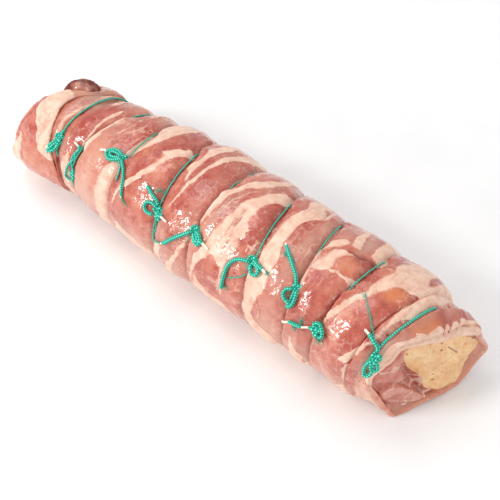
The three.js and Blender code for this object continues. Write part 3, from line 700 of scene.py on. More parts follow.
def between(n):
    """Stations of a slice from tie n to tie n + 1, and the rows between them: its left edge lies
    over the slice before, and over the tie where that is covered, and its right end passes under
    the next one."""
    hide = covered(n, PHI)
    a, b = tie_x(n, PHI), tie_x(n + 1, PHI)
    left = a + 2.0 - 2.7 * hide + edge_wave(n)
    top = 1.7 - 1.0 * hide
    outside = [(left + 0.5, top + 0.1), (a + 4.2, 1.0 - 0.3 * hide), (a + 7.5, 0.45), ((a + b) / 2, 0.0),
               (b - 7.0, 0.6), (b - 3.6, 1.4), (b - 1.5, 2.6), (b, 3.3), (b + 2.2, 3.1), (b + 7, 3.25)]
    inside = [(b + 7, WALL), (a + 9.5, WALL), (a + 7.6, 3.4), (a + 4.2, 2.6)]
    inside += rounded(left, top, top + 1.3, -1)[::-1]
    return outside, inside, [4, 7, 12, 12, 8, 6, 5, 4, 5], [4, 4, 4, 3, 3, 2, 2]


def far_x(phi):
    """x where the wrap stops at the far end: cut back further round the tip."""
    return -159 + 4 * np.sin(np.radians(phi - 10)) + 25 * bell(phi, 117, 24)


def first_edge(phi):
    """x of the free right edge of the first slice, which lies over the second: it slants with
    sin(phi), more on top, with a wave at the back and one at the top."""
    r = np.radians(phi)
    s = np.sin(r)
    slant = -np.where(s > 0, 13, 4) * s - 1.2 * np.cos(r)
    return -121 + slant + 7 * bell(phi, 122, 26) - 3 * bell(phi, 84, 20)


# First slice: over the second, with a broad band of fat at its free edge, rolled in at the far
# end, where a pale corner of it stands out at the lower left
corner = step(4, -8, signed(PHI)) * step(-52, -28, signed(PHI))
a, b = far_x(PHI) - 2.6 * corner, first_edge(PHI) + edge_wave(0)
lift = 0.5 * bell(PHI, 55, 38)
outside = [(a, 4.2 - 1.6 * corner), (a + 0.5, 2.8 - 1.7 * corner), (a + 1.6, 1.6 - 1.5 * corner),
           (a + 0.3 * (b - a), 0.5 - 0.5 * corner), ((a + b) / 2, 0.0),
           (a + 0.75 * (b - a), 0.1 - 0.3 * lift), (b - 1.4, 0.4 - lift)]
inside = [(b - 2.2, 2.5 - 0.5 * lift), (b - 5, WALL), (a + 0.5 * (b - a), WALL), (a + 1.6, WALL),
          (a + 0.5, WALL + 0.4)]
wrap(1, outside + rounded(b, 0.6 - lift, 2.1 - lift, 1), inside,
     [4, 5, 10, 12, 14, 12, 3, 2, 2, 2], [3, 3, 3, 2],
     bands=[[(8, -127, -127), (12, -132, -121), (20, -137, -123), (30, -139.5, -126), (40, -141, -127.5),
             (50, -145, -129.5), (60, -148, -131), (70, -149, -133), (80, -149, -134), (89, -149, -134),
             (94, -148.5, -136.5), (98, -147, -140.5), (103, -144, -144)],
            [(-60, -166, -148), (-40, -166, -147), (-28, -168, -149), (-18, -168, -151),
             (-10, -166, -152), (0, -160, -151.6), (10, -156, -150.4), (20, -153, -150),
             (28, -151, -151)]],
     patches=[("deep", -146, 20, 7, 30, -0.1), ("deep", -152, 55, 4, 40, 0.35),
              ("glow", -140, 0, 14, 18, 0.35), ("grey", -135, 98, 7, 7, 0.8),
              ("glow", -137, 98, 5, 5, 0.4), ("grey", -130, 116, 9, 13, 1.0),
              ("dark", -127, 112, 5, 10, 0.2)],
     folds=[(-147, 72, -141, 48, 0.7, 0.5), (-149.5, 10, -150.5, -14, 0.9, 0.8),
            (-152, 60, -154, 20, 1.2, 0.7)],
     vein=0.25)

# Second slice: from under the first to past the second tie
a, b, edge = tie_x(0, PHI), tie_x(1, PHI), first_edge(PHI)
swell = np.clip((b - a - 6) / 9, 0, 1)
gap = np.minimum(a - edge, 12)
raised = bell(PHI, 90, 40)


def under_first(marks, x, depth):
    """Painted shade, dark and tinted orange, in the crease where the second slice comes out from under the
    first.
    """
    near = np.exp(-((x - edge) / 1.7) ** 2) * step(18, 34, PHI) * step(96, 78, PHI)
    marks["dark"] = marks["dark"] + 0.4 * near
    marks["glow"] = marks["glow"] + 0.6 * near


outside = [(edge - 3.4, 3.3), (edge - 1, 2.3 - 0.7 * raised),
           (edge + 0.35 * (a - edge), 1.9 - 0.05 * gap - 0.4 * raised),
           (edge + 0.75 * (a - edge), 2.1), (a, 3.1), (a + 0.14 * (b - a), 2.4),
           (a + 0.35 * (b - a), 3.0 - 1.9 * swell), (a + 0.7 * (b - a), 2.8 - 1.8 * swell),
           (a + 0.9 * (b - a), 2.9 - 0.8 * swell), (b, 3.3), (b + 2.2, 3.1), (b + 7, 3.25)]
inside = [(b + 7, WALL), ((a + b) / 2, WALL), (edge - 3.4, WALL)]
wrap(2, outside, inside, [5, 6, 6, 6, 8, 8, 10, 8, 6, 4, 5], [3, 3],
     bands=[[(44, -127, -127), (50, -129, -126), (60, -129.5, -127), (70, -129.5, -127),
             (80, -128, -125.2), (90, -126.5, -124), (98, -125, -122), (130, -124, -123),
             (140, -124, -124)],
            [(-40, -118, -106), (0, -119, -107), (6, -119, -110), (12, -118.5, -112), (20, -117, -112.5),
             (30, -116, -113), (36, -114, -114)],
            [(40, -107, -107), (48, -109.5, -107.5), (60, -109.5, -107.6), (80, -108.5, -106.5),
             (100, -107, -105), (108, -106, -106)],
            [(104, -114, -114), (112, -114.5, -112.5), (140, -114, -112)]],
     patches=[("deep", -115, 65, 6, 40, 0.35), ("grey", -125, 108, 7, 15, 1.0),
              ("deep", -125, 108, 7, 15, -0.4), ("dark", -124, 106, 6, 12, 0.24),
              ("grey", -119, 30, 3, 20, 0.6), ("glow", -125.5, 66, 2, 9, 0.5),
              # the dark patches at -121.5, 16 and -119, 0 are painted shadow from the first slice's lifted
              # edge
              ("grey", -131, 80, 3, 20, 0.5), ("dark", -121.5, 16, 2.2, 9, 0.9),
              ("dark", -119, 0, 1.6, 10, 0.6), ("grey", -108, 125, 8, 12, 0.5)],
     vein=0.5, more=under_first)

# Third slice: pale rim, veined lean, then a broad band of fat before the third tie
wrap(3, *between(1),
     bands=[[(26, -107.4, -106.4), (40, -108, -105.6), (50, -107.6, -104.2), (60, -107, -102.6),
             (70, -105.4, -102), (80, -103.6, -101.4), (95, -102.4, -99.8), (106, -102.4, -99.6),
             (140, -99, -97)],
            [(-40, -88, -70), (0, -87, -72), (10, -87.5, -74), (20, -87, -76), (40, -86.5, -77),
             (50, -84.4, -74), (60, -81, -72), (71, -79.6, -70), (83, -78.6, -70), (92, -77.6, -70),
             (98, -76.4, -70), (106, -74.6, -68), (130, -72, -62), (150, -74, -64)],
            [(112, -88, -88), (124, -89.5, -86.5), (150, -88, -86)]],
     patches=[("deep", -75, 28, 2.6, 26, 0.6), ("deep", -94, 60, 8, 50, -0.05),
              ("grey", -80, 122, 8, 9, 0.5), ("glow", -104, 38, 2, 10, 0.4),
              ("grey", -97, 46, 8, 50, 0.42), ("deep", -97, 40, 8, 50, -0.25),
              ("grey", -98, -8, 14, 22, 0.5), ("glow", -98, 62, 4, 14, 0.25)],
     vein=0.75)

# Fourth slice: deep red lean with a forked band of fat, ragged pale along its lower end
wrap(4, *between(2),
     bands=[[(16, -71.4, -70.6), (30, -71, -69.2), (40, -69.4, -66), (46, -67.2, -63.2),
             (50, -65.4, -61.6), (55, -63.8, -59.8), (62, -61.6, -56.8), (68, -59.4, -55.4),
             (74, -58.4, -54.8), (80, -57.8, -54), (84, -58, -52.4), (86, -60.6, -51.4),
             (88, -59.4, -50.4), (90, -57, -48.4), (92, -54.4, -45.6), (95, -51.4, -44.6),
             (98, -51, -46.4), (100, -49, -49)],
            [(66, -77, -76), (72, -77, -73.4), (77, -77, -71.6), (83, -77, -68.6), (91, -77, -67),
             (95, -77, -66), (106, -77, -63.4), (122, -77, -60), (140, -77, -60)],
            [(-40, -74, -36), (-22, -74, -40), (-13, -72, -50), (-6, -70, -60), (-2, -68, -67)]],
     patches=[("deep", -68, 72, 7, 20, 0.5), ("deep", -55, 40, 12, 34, 0.45),
              ("deep", -55, 110, 10, 20, 0.35), ("glow", -69, 80, 2.4, 12, 0.6),
              ("glow", -56, 82, 3, 8, 0.35), ("glow", -64, 100, 4, 8, 0.3),
              ("grey", -52, -14, 24, 18, 0.65), ("grey", -70, 36, 2, 12, 0.4)],
     vein=0.4)

# Fifth slice: salmon lean, a short bright streak at its rim and a long thin one
wrap(5, *between(3),
     bands=[[(73, -36.8, -36.4), (80, -38.4, -36), (85, -42.5, -36.2), (89, -44, -36.4), (93, -40, -36.6),
             (100, -40.5, -36.5), (110, -42, -35), (120, -41, -33), (145, -40, -30)],
            [(42, -34.5, -34.3), (50, -34.6, -33.8), (60, -34.2, -32.8), (70, -34.4, -32.4),
             (80, -33, -30.6), (90, -32, -29.8), (100, -31, -28), (110, -29.5, -25), (125, -27, -20),
             (145, -26, -16)],
            [(-40, -34, -26), (-15, -30, -25), (0, -25, -21.5), (10, -21.5, -18.6), (20, -18.8, -16.6),
             (30, -16, -15.6)],
            [(-12, -40, -33), (0, -38, -32), (5, -36, -32), (9, -34, -34)]],
     patches=[("glow", -27, 122, 14, 16, 0.35), ("deep", -27, 75, 8, 40, 0.25),
              ("deep", -35, 92, 1.6, 10, 0.4), ("grey", -28, -8, 16, 20, 0.7),
              ("grey", -36, 24, 4, 12, 0.5), ("grey", -20, 60, 4, 40, 0.25),
              ("deep", -34, 20, 7, 16, 0.2)],
     vein=0.55)

# Sixth slice: two bands of fat, grey-pink lean between them, a long crease down the wide one
wrap(6, *between(4),
     bands=[[(30, -15.5, -14.5), (50, -15.5, -12.6), (69, -15.5, -11.4), (78, -15.5, -10.8),
             (84, -15.5, -9), (88, -11.4, -6.6), (94, -9, -4.6), (99, -7.6, -1.6), (104, -5.6, 1.4),
             (110, -2.6, 4.4), (120, 1.6, 6), (135, 3.6, 7), (150, 4, 7)],
            [(28, 6, 8.6), (33, 2, 10), (36, -3, 12.4), (39, -4, 14), (42, -4.4, 13), (47, -4.6, 13),
             (52, -4, 12), (57, -3.6, 11.4), (60, -3.2, 13.4), (64, -3.6, 12.6), (67, -3, 13),
             (71, -1.8, 10.4), (76, -1.2, 9), (80, -1, 10), (84, 0.4, 9), (89, 2.4, 9), (93, 3.6, 11),
             (97, 4.8, 13.4), (101, 6, 16.4), (105, 8, 18), (110, 11, 18), (114, 14, 17.8),
             (119, 17, 17.4)],
            [(-8, 11, 11.2), (0, 10.9, 11.8), (10, 10.4, 12), (20, 9.5, 12), (30, 8, 12), (36, 9, 12)],
            [(-5, -11, -9.8), (11, -9.6, -6.6), (23, -8.4, -3.2), (30, -6, -0.6), (34, -5, 1.4),
             (38, -4, 1)],
            [(-40, -12, 22), (-14, -10, 12), (-8, -8, 2), (-3, -8, -4), (1, -7, -7)],
            [(70, -7.6, -7.6), (78, -7, -6.2), (88, -3.6, -2.8), (96, -0.4, 0.2), (102, 3, 3)]],
     patches=[("grey", -8, 58, 3.5, 16, 0.6), ("grey", -6, 82, 4, 14, 0.3), ("grey", 4, 108, 5, 12, 0.35),
              ("deep", 15, 72, 6, 34, 0.5), ("deep", 2, 14, 9, 15, 0.75), ("glow", 3, 20, 5, 8, 0.25),
              ("deep", 20, 18, 6, 20, 0.3), ("grey", -13, 14, 3, 14, 0.8),
              ("fat", 6.2, 45, 0.8, 9, -0.75), ("fat", 8.2, 40, 0.5, 6, -0.5),
              ("fat", 4.6, 68, 0.5, 5, -0.9), ("deep", 4.6, 68, 1, 5, 0.5),
              ("fat", 2.4, 52, 0.35, 9, -0.45), ("fat", -10.2, 56, 0.5, 12, 0.5),
              ("fat", -6.6, 66, 0.5, 12, 0.45), ("grey", 14, 128, 6, 12, 0.6)],
     folds=[(3.4, 78, 3.8, 64, 0.5, 1.1), (3.2, 64, 1.6, 44, 0.4, 0.45), (5.4, 60, 4, 36, 0.4, 0.3)],
     vein=0.5 + 0.9 * bell(PHI, 42, 26))

# Seventh slice: a strip of deep lean beside the tie, a wide pale band, pink lean under films
wrap(7, *between(5),
     bands=[[(-40, 28, 60), (-12, 28, 46), (-6, 27.4, 34), (0, 27, 32.5), (10, 27, 33.5),
             (15, 26.6, 34.5), (20, 26.2, 35.5), (25, 26, 37), (35, 25, 37), (45, 25, 37), (50, 25.5, 36),
             (63, 25.2, 35), (73, 24.6, 33), (80, 24.4, 31.8), (90, 24.6, 31), (96, 25, 32),
             (103, 25.4, 34), (109, 26.8, 38), (114, 25.4, 37), (120, 23.8, 34), (145, 24, 34)],
            [(108, 38, 38), (116, 37.6, 40), (128, 36.6, 38.6), (140, 36, 36)]],
     patches=[("deep", 22, 85, 2.6, 40, 0.5), ("grey", 42, 84, 3, 14, 0.55),
              ("grey", 45, 110, 4, 14, 0.4), ("deep", 36, 100, 5, 20, 0.1), ("deep", 43, 45, 7, 20, 0.3),
              ("grey", 42, -8, 14, 22, 0.5), ("grey", 44, 50, 6, 44, 0.38), ("deep", 43, 30, 9, 60, -0.2),
              ("deep", 38, 120, 5, 12, 0.25)],
     vein=0.85)

# Eighth slice: a pale rim, a bright block of fat beside an orange-pink one, red lean below
wrap(8, *between(6),
     bands=[[(48, 53.5, 54), (56, 52, 55), (67, 50.4, 53), (77, 48.8, 51.4), (85, 47.4, 50.2),
             (90, 48, 51.8), (95, 49.4, 56.6), (99, 50.4, 59), (102, 52.6, 58), (104, 55, 55.6)],
            [(69, 53, 53.6), (71, 52.6, 57.4), (74, 52.2, 60), (77, 52.3, 61.5), (80, 53, 61.4),
             (83, 53.8, 60.4), (86, 54.2, 60), (90, 55.4, 61.6), (92.4, 57, 64), (94.4, 60.4, 64.6),
             (95.6, 63, 63)],
            [(74.6, 62, 64), (75.6, 61, 70), (76.8, 61, 73.4), (78.2, 67, 75.4), (79.8, 73, 76.4),
             (81, 75.6, 75.6)],
            [(100.4, 60, 61), (102, 59.4, 65), (108, 58.4, 64), (114, 57.6, 62.6), (126, 57.4, 61),
             (145, 56, 60)],
            [(101.4, 73, 73.6), (103, 71.2, 77), (107, 71, 79.2), (112, 71, 79.6), (120, 71, 79.4),
             (130, 70, 79), (145, 68, 78)],
            [(-40, 62, 78), (0, 77, 81), (10, 74, 77.5), (17, 72, 75), (20, 73, 73)],
            [(-40, 50, 66), (-14, 58, 66), (-6, 58, 62), (2, 58.5, 59)]],
     patches=[("glow", 66.5, 85, 5.6, 7, 0.55), ("deep", 66.5, 85, 6, 8, -0.3),
              ("deep", 62, 50, 10, 26, 0.45), ("deep", 71, 96.4, 7, 4, 1.0),
              # the dark patch at 70, 97.4 is painted shade in the fold under the back fat
              ("dark", 70, 97.4, 6, 2.4, 0.3), ("grey", 53, 116, 4, 14, 0.4),
              ("grey", 66.5, 113, 4, 15, 0.85), ("grey", 62, -10, 16, 20, 0.55),
              ("fat", 56.5, 81, 3.4, 7, 0.4), ("deep", 54, 91, 5, 2.4, 0.3)],
     folds=[(62, 96, 76, 100.6, 0.9, 0.9), (60, 79, 74, 78, 0.7, 0.3)],
     vein=0.5)

# Ninth slice: red lean between two slanting bands of fat, wide and pale towards the back; it
# ends before the last tie, under the tenth
a, b, hide = tie_x(7, PHI), tie_x(8, PHI), covered(7, PHI)
left, top = a + 2.0 - 2.7 * hide + edge_wave(8), 1.7 - 1.0 * hide
outside = [(left + 0.5, top + 0.1), (a + 4.2, 1.0), (a + 7.5, 0.45), ((a + b) / 2 - 2, 0.0),
           (b - 10.5, 0.35), (b - 8.4, 1.0), (b - 7, 2.4), (b - 2.4, 3.3)]
inside = [(b - 2.4, WALL), (a + 9.5, WALL), (a + 7.6, 3.4), (a + 4.2, 2.6)]
wrap(9, outside, inside + rounded(left, top, top + 1.3, -1)[::-1],
     [4, 7, 12, 14, 5, 4, 5], [4, 4, 4, 3, 3, 2, 2],
     bands=[[(38, 74, 74), (42, 73.6, 75), (46, 73.4, 77), (50, 74.2, 78.4), (57, 75.7, 79.4),
             (62, 76.6, 80.4), (66, 77.5, 81.8), (70, 79, 84.4), (74, 81, 86), (79, 83.2, 87),
             (84, 82.4, 87.8), (87, 83, 89.4), (91, 84, 91), (94, 84.6, 92.2), (97, 85.2, 96),
             (99, 85.6, 104), (104, 86, 112), (111, 84.6, 112), (125, 87, 112), (145, 87, 112)],
            [(16, 88, 92), (20, 89, 94), (25, 91.4, 96), (30, 93, 97), (40, 95.5, 98.6), (50, 98, 101),
             (60, 100, 103), (70, 101, 104.6), (80, 101, 106.6), (85, 101.4, 108), (90, 103, 110),
             (97, 104.6, 112), (104, 104.5, 112)],
            [(-30, 84, 104), (-10, 92, 102), (0, 91, 102), (10, 91, 99.5), (15, 92, 98), (18, 95, 95)]],
     patches=[("glow", 95, 89.6, 6, 7, 1.25), ("deep", 101, 94, 3.4, 6, 0.6),
              ("deep", 98, 74, 3.5, 9, 0.7), ("deep", 90, 46, 9, 30, 0.35),
              ("deep", 103, 131, 1.8, 12, 2.0), ("fat", 103, 131, 1.8, 12, -2.0),
              ("glow", 86, 96, 3, 8, 0.4), ("deep", 88, 6, 8, 10, 0.2), ("grey", 88, -16, 14, 18, 0.6),
              # the dark spot at 99.2, 11 is painted shade in the pressed fold there
              ("dark", 99.2, 11, 1.0, 3.4, 0.9), ("deep", 82, 124, 4, 16, 0.1)],
     folds=[(99.5, 14, 100.5, -2, 0.9, 1.0)],
     vein=0.6)


def lip_x(phi):
    """x where the outline at the lip's depth meets the plane of the open end, by repeated steps."""
    x = np.full(np.shape(phi), 118.0)
    for _ in range(14):
        p = on_roll(x, phi, lip_depth(phi))
        x = mouth_x(p[..., 1], p[..., 2])
    return x


# Last slice: left end over the ninth, held by the last tie, and past it the open lip: drawn down
# over the top of the filling, thick and pale at its rim, thin and skin-like underneath
b, lip, roll, thick = tie_x(8, PHI), lip_x(PHI), lip_depth(PHI), lip_thick(PHI)
still = 0 * PHI
swell = np.clip((lip - b) / 9, 0, 1)
rim = 3.6 + (roll + 0.2 - 3.6) * swell + 0.25 * grain_round(still, PHI, 4, seed=31)
rim_waves = 0.5 * grain_round(still, PHI, 7, seed=33) + 0.2 * grain_round(still, PHI, 2.5, seed=34)
lip = lip + 1.7 * bell(PHI, 94, 26) + rim_waves
sag = 1.2 * bell(PHI, 128, 28)
wave = edge_wave(11)


def part(t):
    """x at t of the way from the last tie to the lip."""
    return b + (lip - b) * t


def sunk(start, share):
    """A depth gone from start towards the lip's by the given share, less where there is no room
    between the tie and the lip."""
    return 3.4 + (start + (roll - start) * share - 3.4) * swell


def rim_marks(marks, x, depth):
    """Pale scalloped fat along the top of the lip, wider to the right; below it turns to lean, with
    a thin white line on the inner edge of the rim and pale skin on the lower left corner."""
    phi = signed(PHI)
    width = np.interp(phi, [0, 15, 34, 60, 66, 76, 85, 112, 126, 139, 161, 175],
                      [1.2, 3.6, 4.2, 3.6, 2.8, 2.6, 2.0, 1.2, 1.4, 2.0, 3.0, 2.0])
    scallop = 1.9 * np.abs(np.sin(np.radians(phi) * 12.5 + 1.6 * grain_round(still, PHI, 9, seed=40)))
    scallop = scallop * step(70, 84, phi) * step(150, 130, phi)
    top = step(-2, 6, phi) * step(184, 172, phi)
    low = step(-44, -56, phi) + step(150, 190, PHI) * (phi < 0)
    before = x - lip
    turned_in = step(-2.6, -1.4, before)
    inner_line = 0.8 * step(0.86, 0.97, (depth - rim) / thick) * turned_in * (1 - top)
    corner_skin = 0.75 * bell(PHI, -20, 30) * step(-14, -5, before) * (1 - turned_in)
    fat = marks["fat"] * (1 - 0.8 * step(-9, -6, before))
    fat = np.maximum(fat, top * step(-0.5, 0.5, before + width + scallop))
    marks["fat"] = np.maximum(np.maximum(fat, inner_line), corner_skin)
    behind_rim = 0.25 * step(14, 30, phi) * step(66, 50, phi) * step(-11, -8, before)
    under = low * turned_in
    marks["grey"] = marks["grey"] * (1 - under) + behind_rim + 0.35 * under * bell(phi, 190, 60)
    marks["deep"] = marks["deep"] * (1 - under) + 0.2 * under
    marks["glow"] = marks["glow"] + 0.12 * under


outside = [(b - 7 + wave, 0.9 + sag), (b - 4.6, 0.9 + sag), (b - 2.4, 1.9 + sag), (b, 3.3 + sag),
           (part(0.16), 3.4 - 1.0 * swell + 0.6 * sag), (part(0.4), sunk(1.9, 0.3)),
           (part(0.8), sunk(1.4, 0.74)), (lip - 0.45 * thick, rim - 0.1)]
inside = [(lip - 0.9 * thick, rim + thick),
          (part(0.5), np.maximum(WALL, WALL + (roll + thick - WALL) * 0.55)),
          (b - 0.4, WALL + sag), (b - 2.4, 2.9 + sag), (b - 6.6 + wave, 2.0 + sag)]
wrap(10, outside + rounded(lip, rim, rim + thick, 1), inside,
     [3, 4, 5, 5, 8, 14, 6, 3, 3, 3, 3], [6, 4, 3, 3],
     bands=[[(-60, 98, 106), (-20, 98, 108), (0, 99, 110), (8, 103, 110), (14, 106, 110), (20, 109, 109)],
            [(26, 92.6, 94.6), (30, 93.6, 96.6), (40, 96, 98.4), (50, 98.6, 100.8), (55, 99.6, 101.4),
             (60, 100.2, 102), (65, 100.6, 102.6), (71, 101.4, 104.2), (79, 101, 105.8), (85, 102, 109),
             (90, 103.6, 109.6), (97, 104.6, 110.4), (104, 104.6, 111.4), (120, 105, 112.6),
             (150, 104, 113)]],
     patches=[("glow", 115, 80, 4.5, 9, 0.75), ("glow", 119, 93, 4.5, 10, 0.95),
              ("grey", 105, 42, 2.6, 22, 0.9), ("grey", 112, 62, 4, 22, 0.5),
              ("deep", 121, 106, 4.5, 9, 0.8), ("deep", 105.5, 40, 1.6, 14, 0.5),
              ("grey", 114, 118, 5, 10, 0.4), ("grey", 112, 95, 3, 10, 0.5),
              ("glow", 117, 64, 3, 7, 0.35), ("deep", 104, 8, 4, 8, -0.3), ("grey", 101, 20, 5, 14, 0.5)],
     vein=0.5, lumps=0.6, more=rim_marks)


def top_depth(x, phi):
    """Least depth of the wrap at x and phi: in each slice the nearest row at the nearest column."""
    x, phi = np.broadcast_arrays(np.asarray(x, float), np.asarray(phi, float))
    column = np.round(phi / 360 * COLUMNS).astype(int) % COLUMNS
    best = np.full(x.shape, WALL)
    for slice_x, slice_depth in TOPS:
        cx, cd = slice_x[:, column], slice_depth[:, column]
        row = np.abs(cx - x).argmin(0)
        here = np.take_along_axis(cd, row[None], 0)[0]
        best = np.where((x >= cx.min(0)) & (x <= cx.max(0)), np.minimum(best, here), best)
    return best


# ------------------------------------------------------------------ ties
# Nine turquoise elastic ties: a braided sleeve with mint flecks over a white rubber core, drawn
# tight round the roll and knotted on the near side, with loops, cut ends and frayed threads.


def elastic_cord():
    """Turquoise, darkened in the gaps of the braid as painted shade, to mint on its flecks, and white on
    the core.
    """
    material = bpy.data.materials.new("elastic_cord")
    material.use_nodes = True
    tree = material.node_tree
    shader = tree.nodes["Principled BSDF"]
    fleck = mark(tree, "fleck")
    # painted shade: where fleck is low the braid is sunken, and it is coloured darker there
    base = mixed(tree, ramp(tree, fleck, -0.8, -0.1), colour(0, 84, 70), colour(6, 184, 155))
    base = mixed(tree, ramp(tree, fleck, 0.3, 0.7), base, colour(160, 252, 232))
    base = mixed(tree, mark(tree, "core"), base, colour(255, 240, 222))
    tree.links.new(base, shader.inputs["Base Color"])
    shader.inputs["Roughness"].default_value = 0.6
    shader.inputs["Sheen Weight"].default_value = 0.04
    shader.inputs["Specular IOR Level"].default_value = 0.3
    relief = node(tree, "Bump", {"Height": speckle(tree, 0.25, 1.0), "Strength": 0.3, "Distance": 0.0001})
    tree.links.new(relief.outputs[0], shader.inputs["Normal"])
    return material


cord_finish = elastic_cord()
KNOT_CORD = 0.95    # radius of the cord where it is slack, as in the knots
NO_CORE = 1e9       # bare core that starts beyond any cord's length


def tube(path, radius, pitch, core_from=NO_CORE, closed=False, sides=10):
    """A cord along a path of points: circles across it, turned so that one side faces away from the
    roll's axis. The braid is cos(2a + ks) cos(2a - ks), a round and s along the cord, raised. The
    core is thinner and plain, and open ends are rounded."""
    s = np.r_[0, np.cumsum(np.linalg.norm(np.diff(path, axis=0), axis=1))]
    ahead = np.roll(path, -1, 0) - np.roll(path, 1, 0) if closed else np.gradient(path, axis=0)
    ahead /= np.linalg.norm(ahead, axis=1)[:, None] + 1e-9
    out = path - [0, 0.8, 31]
    out[:, 0] = 0.01
    out -= (out * ahead).sum(1)[:, None] * ahead
    out /= np.linalg.norm(out, axis=1)[:, None] + 1e-9
    side = np.cross(ahead, out)
    a = np.arange(sides) * 2 * np.pi / sides
    k = np.pi / pitch
    if closed:
        k = np.pi * round(s[-1] / pitch) / (s[-1] + np.linalg.norm(path[0] - path[-1]))
    fleck = np.cos(2 * a + k * s[:, None]) * np.cos(2 * a - k * s[:, None])
    core = step(-0.3, 0.3, s - core_from)[:, None] + 0 * a
    r = radius * (1 + 0.14 * fleck * (1 - core)) * (1 - 0.35 * core)
    if not closed:
        r = r * np.clip(np.sqrt(np.minimum(s, s[-1] - s) / 0.5), 0.35, 1)[:, None]
    across = np.cos(a)[:, None] * out[:, None] + np.sin(a)[:, None] * side[:, None]
    points = (path[:, None] + r[..., None] * across).reshape(-1, 3)
    marks = [fleck.ravel(), core.ravel()]
    if not closed:
        points = np.concatenate([points, path[[0, -1]]])
        marks = [np.r_[m, m[0], m[-1]] for m in marks]
    return points, skin(len(path), sides, closed), marks


def laid(points, radius, spread=3.0, ease=0.25):
    """A cord laid on the roll: a smooth line through (x, phi, lift), at the height of the wrap
    below it, smoothed so that the cord bridges the grooves."""
    p = np.array(points, float)
    chord = np.r_[0, np.cumsum(np.hypot(np.diff(p[:, 0]), np.diff(p[:, 1]) * PHI_REACH))]
    t = np.linspace(0, chord[-1], max(8, int(chord[-1] / ease)))
    x, phi, lift = (curve(t, chord, p[:, k]) for k in range(3))
    depth = top_depth(x, phi)
    reach = max(1, int(spread / ease / 2))
    window = 2 * reach + 1
    padded = np.pad(depth, reach, mode="edge")
    depth = np.min([padded[k:k + len(depth)] for k in range(window)], 0)
    depth = np.convolve(np.pad(depth, reach, mode="edge"), np.ones(window) / window, "valid")
    return on_roll(x, phi, depth - radius * 0.85 - lift)


def knot_path(x, phi, across, along, high):
    """A knot: the trefoil (sin t + 2 sin 2t, cos t - 2 cos 2t, -sin 3t), pressed onto the roll and
    stretched to the given half sizes."""
    t = np.linspace(0, 2 * np.pi, 120, endpoint=False)
    u, v, w = (np.sin(t) + 2 * np.sin(2 * t)) / 3, (np.cos(t) - 2 * np.cos(2 * t)) / 3, -np.sin(3 * t)
    base = float(top_depth([x], [phi])[0])
    middle = on_roll(np.array(x), phi, base - high)
    out = on_roll(np.array(x), phi, base - high - 1) - middle
    out /= np.linalg.norm(out)
    up = on_roll(np.array(x), phi + 2, base - high) - middle
    up /= np.linalg.norm(up)
    cross = np.cross(up, out)
    return middle + u[:, None] * across * cross + v[:, None] * along * up + w[:, None] * 0.9 * out


THREAD = 0.09       # radius of a frayed thread
THREAD_POINTS, THREAD_SIDES = 9, 4


def fray(x, phi, dx, dphi, count, seed, length=5.0, curl=1.6):
    """Frayed threads from x, phi towards dx, dphi: fine curls that start together and drift apart
    as s^1.5 with a sine across them, all worked out as one array."""
    rng = np.random.default_rng(seed)
    s = np.linspace(0, 1, THREAD_POINTS)
    base = float(top_depth([x], [phi])[0])
    a = on_roll(np.array(x), phi, base - 0.5)
    d = on_roll(np.array(x + dx), phi + dphi, base - 0.7) - a
    d *= length / (np.linalg.norm(d) + 1e-9)
    start = a + rng.normal(0, 0.5, (count, 1, 3))
    away = rng.normal(0, curl, (count, 1, 3)) * [1, 1, 0.6]
    bow = rng.normal(0, curl * 0.6, (count, 1, 3)) * [1, 1, 0.5]
    path = start + d * (s[:, None] * rng.uniform(0.5, 1.1, (count, 1, 1)))
    path = path + away * s[:, None] ** 1.5 + bow * np.sin(s * 7)[:, None] * 0.5
    ahead = np.gradient(path, axis=1)
    ahead /= np.linalg.norm(ahead, axis=2)[..., None]
    side = np.cross(ahead, [0.3, 0.5, 0.81])
    side /= np.linalg.norm(side, axis=2)[..., None]
    other = np.cross(ahead, side)
    turn = np.arange(THREAD_SIDES) * 2 * np.pi / THREAD_SIDES
    across = np.cos(turn)[:, None] * side[:, :, None] + np.sin(turn)[:, None] * other[:, :, None]
    ring = (path[:, :, None] + THREAD * across).reshape(count, -1, 3)
    points = np.concatenate([ring, path[:, [0, -1]]], 1)
    one = skin(THREAD_POINTS, THREAD_SIDES, False)
    faces = one + np.arange(count)[:, None, None] * points.shape[1]
    points = points.reshape(-1, 3)
    return points, faces.reshape(-1, 3), [np.full(len(points), -0.2), np.zeros(len(points))]


def tie(n, radius, knots, cords, frays=(), pitch=1.25):
    """One tie: the taut ring, sunk where the next slice covers it, its knots, its slack cords (each
    with its points, its radius and how much bare core ends it) and its frayed threads."""
    phi = np.arange(0, 360, 0.42)
    ring = on_roll(tie_x(n, phi), phi, 2.2 + 2.6 * covered(n, phi))
    parts = [tube(ring, radius, pitch, closed=True)]
    parts += [tube(knot_path(*knot), KNOT_CORD, pitch, closed=True) for knot in knots]
    for points, cord_radius, bare in cords:
        path = laid(points, cord_radius)
        length = np.linalg.norm(np.diff(path, axis=0), axis=1).sum()
        parts.append(tube(path, cord_radius, pitch, core_from=length - bare if bare else NO_CORE))
    parts += [fray(*threads) for threads in frays]
    starts = np.cumsum([0] + [len(p) for p, _, _ in parts])
    points = np.concatenate([p for p, _, _ in parts])
    faces = np.concatenate([f + first for (_, f, _), first in zip(parts, starts)])
    fleck, core = (np.concatenate([marks[k] for _, _, marks in parts]) for k in (0, 1))
    return make(f"elastic_tie_{n + 1}", points, faces, cord_finish, "elastic_cord",
                f"tie_{n + 1}", fleck=fleck, core=core)


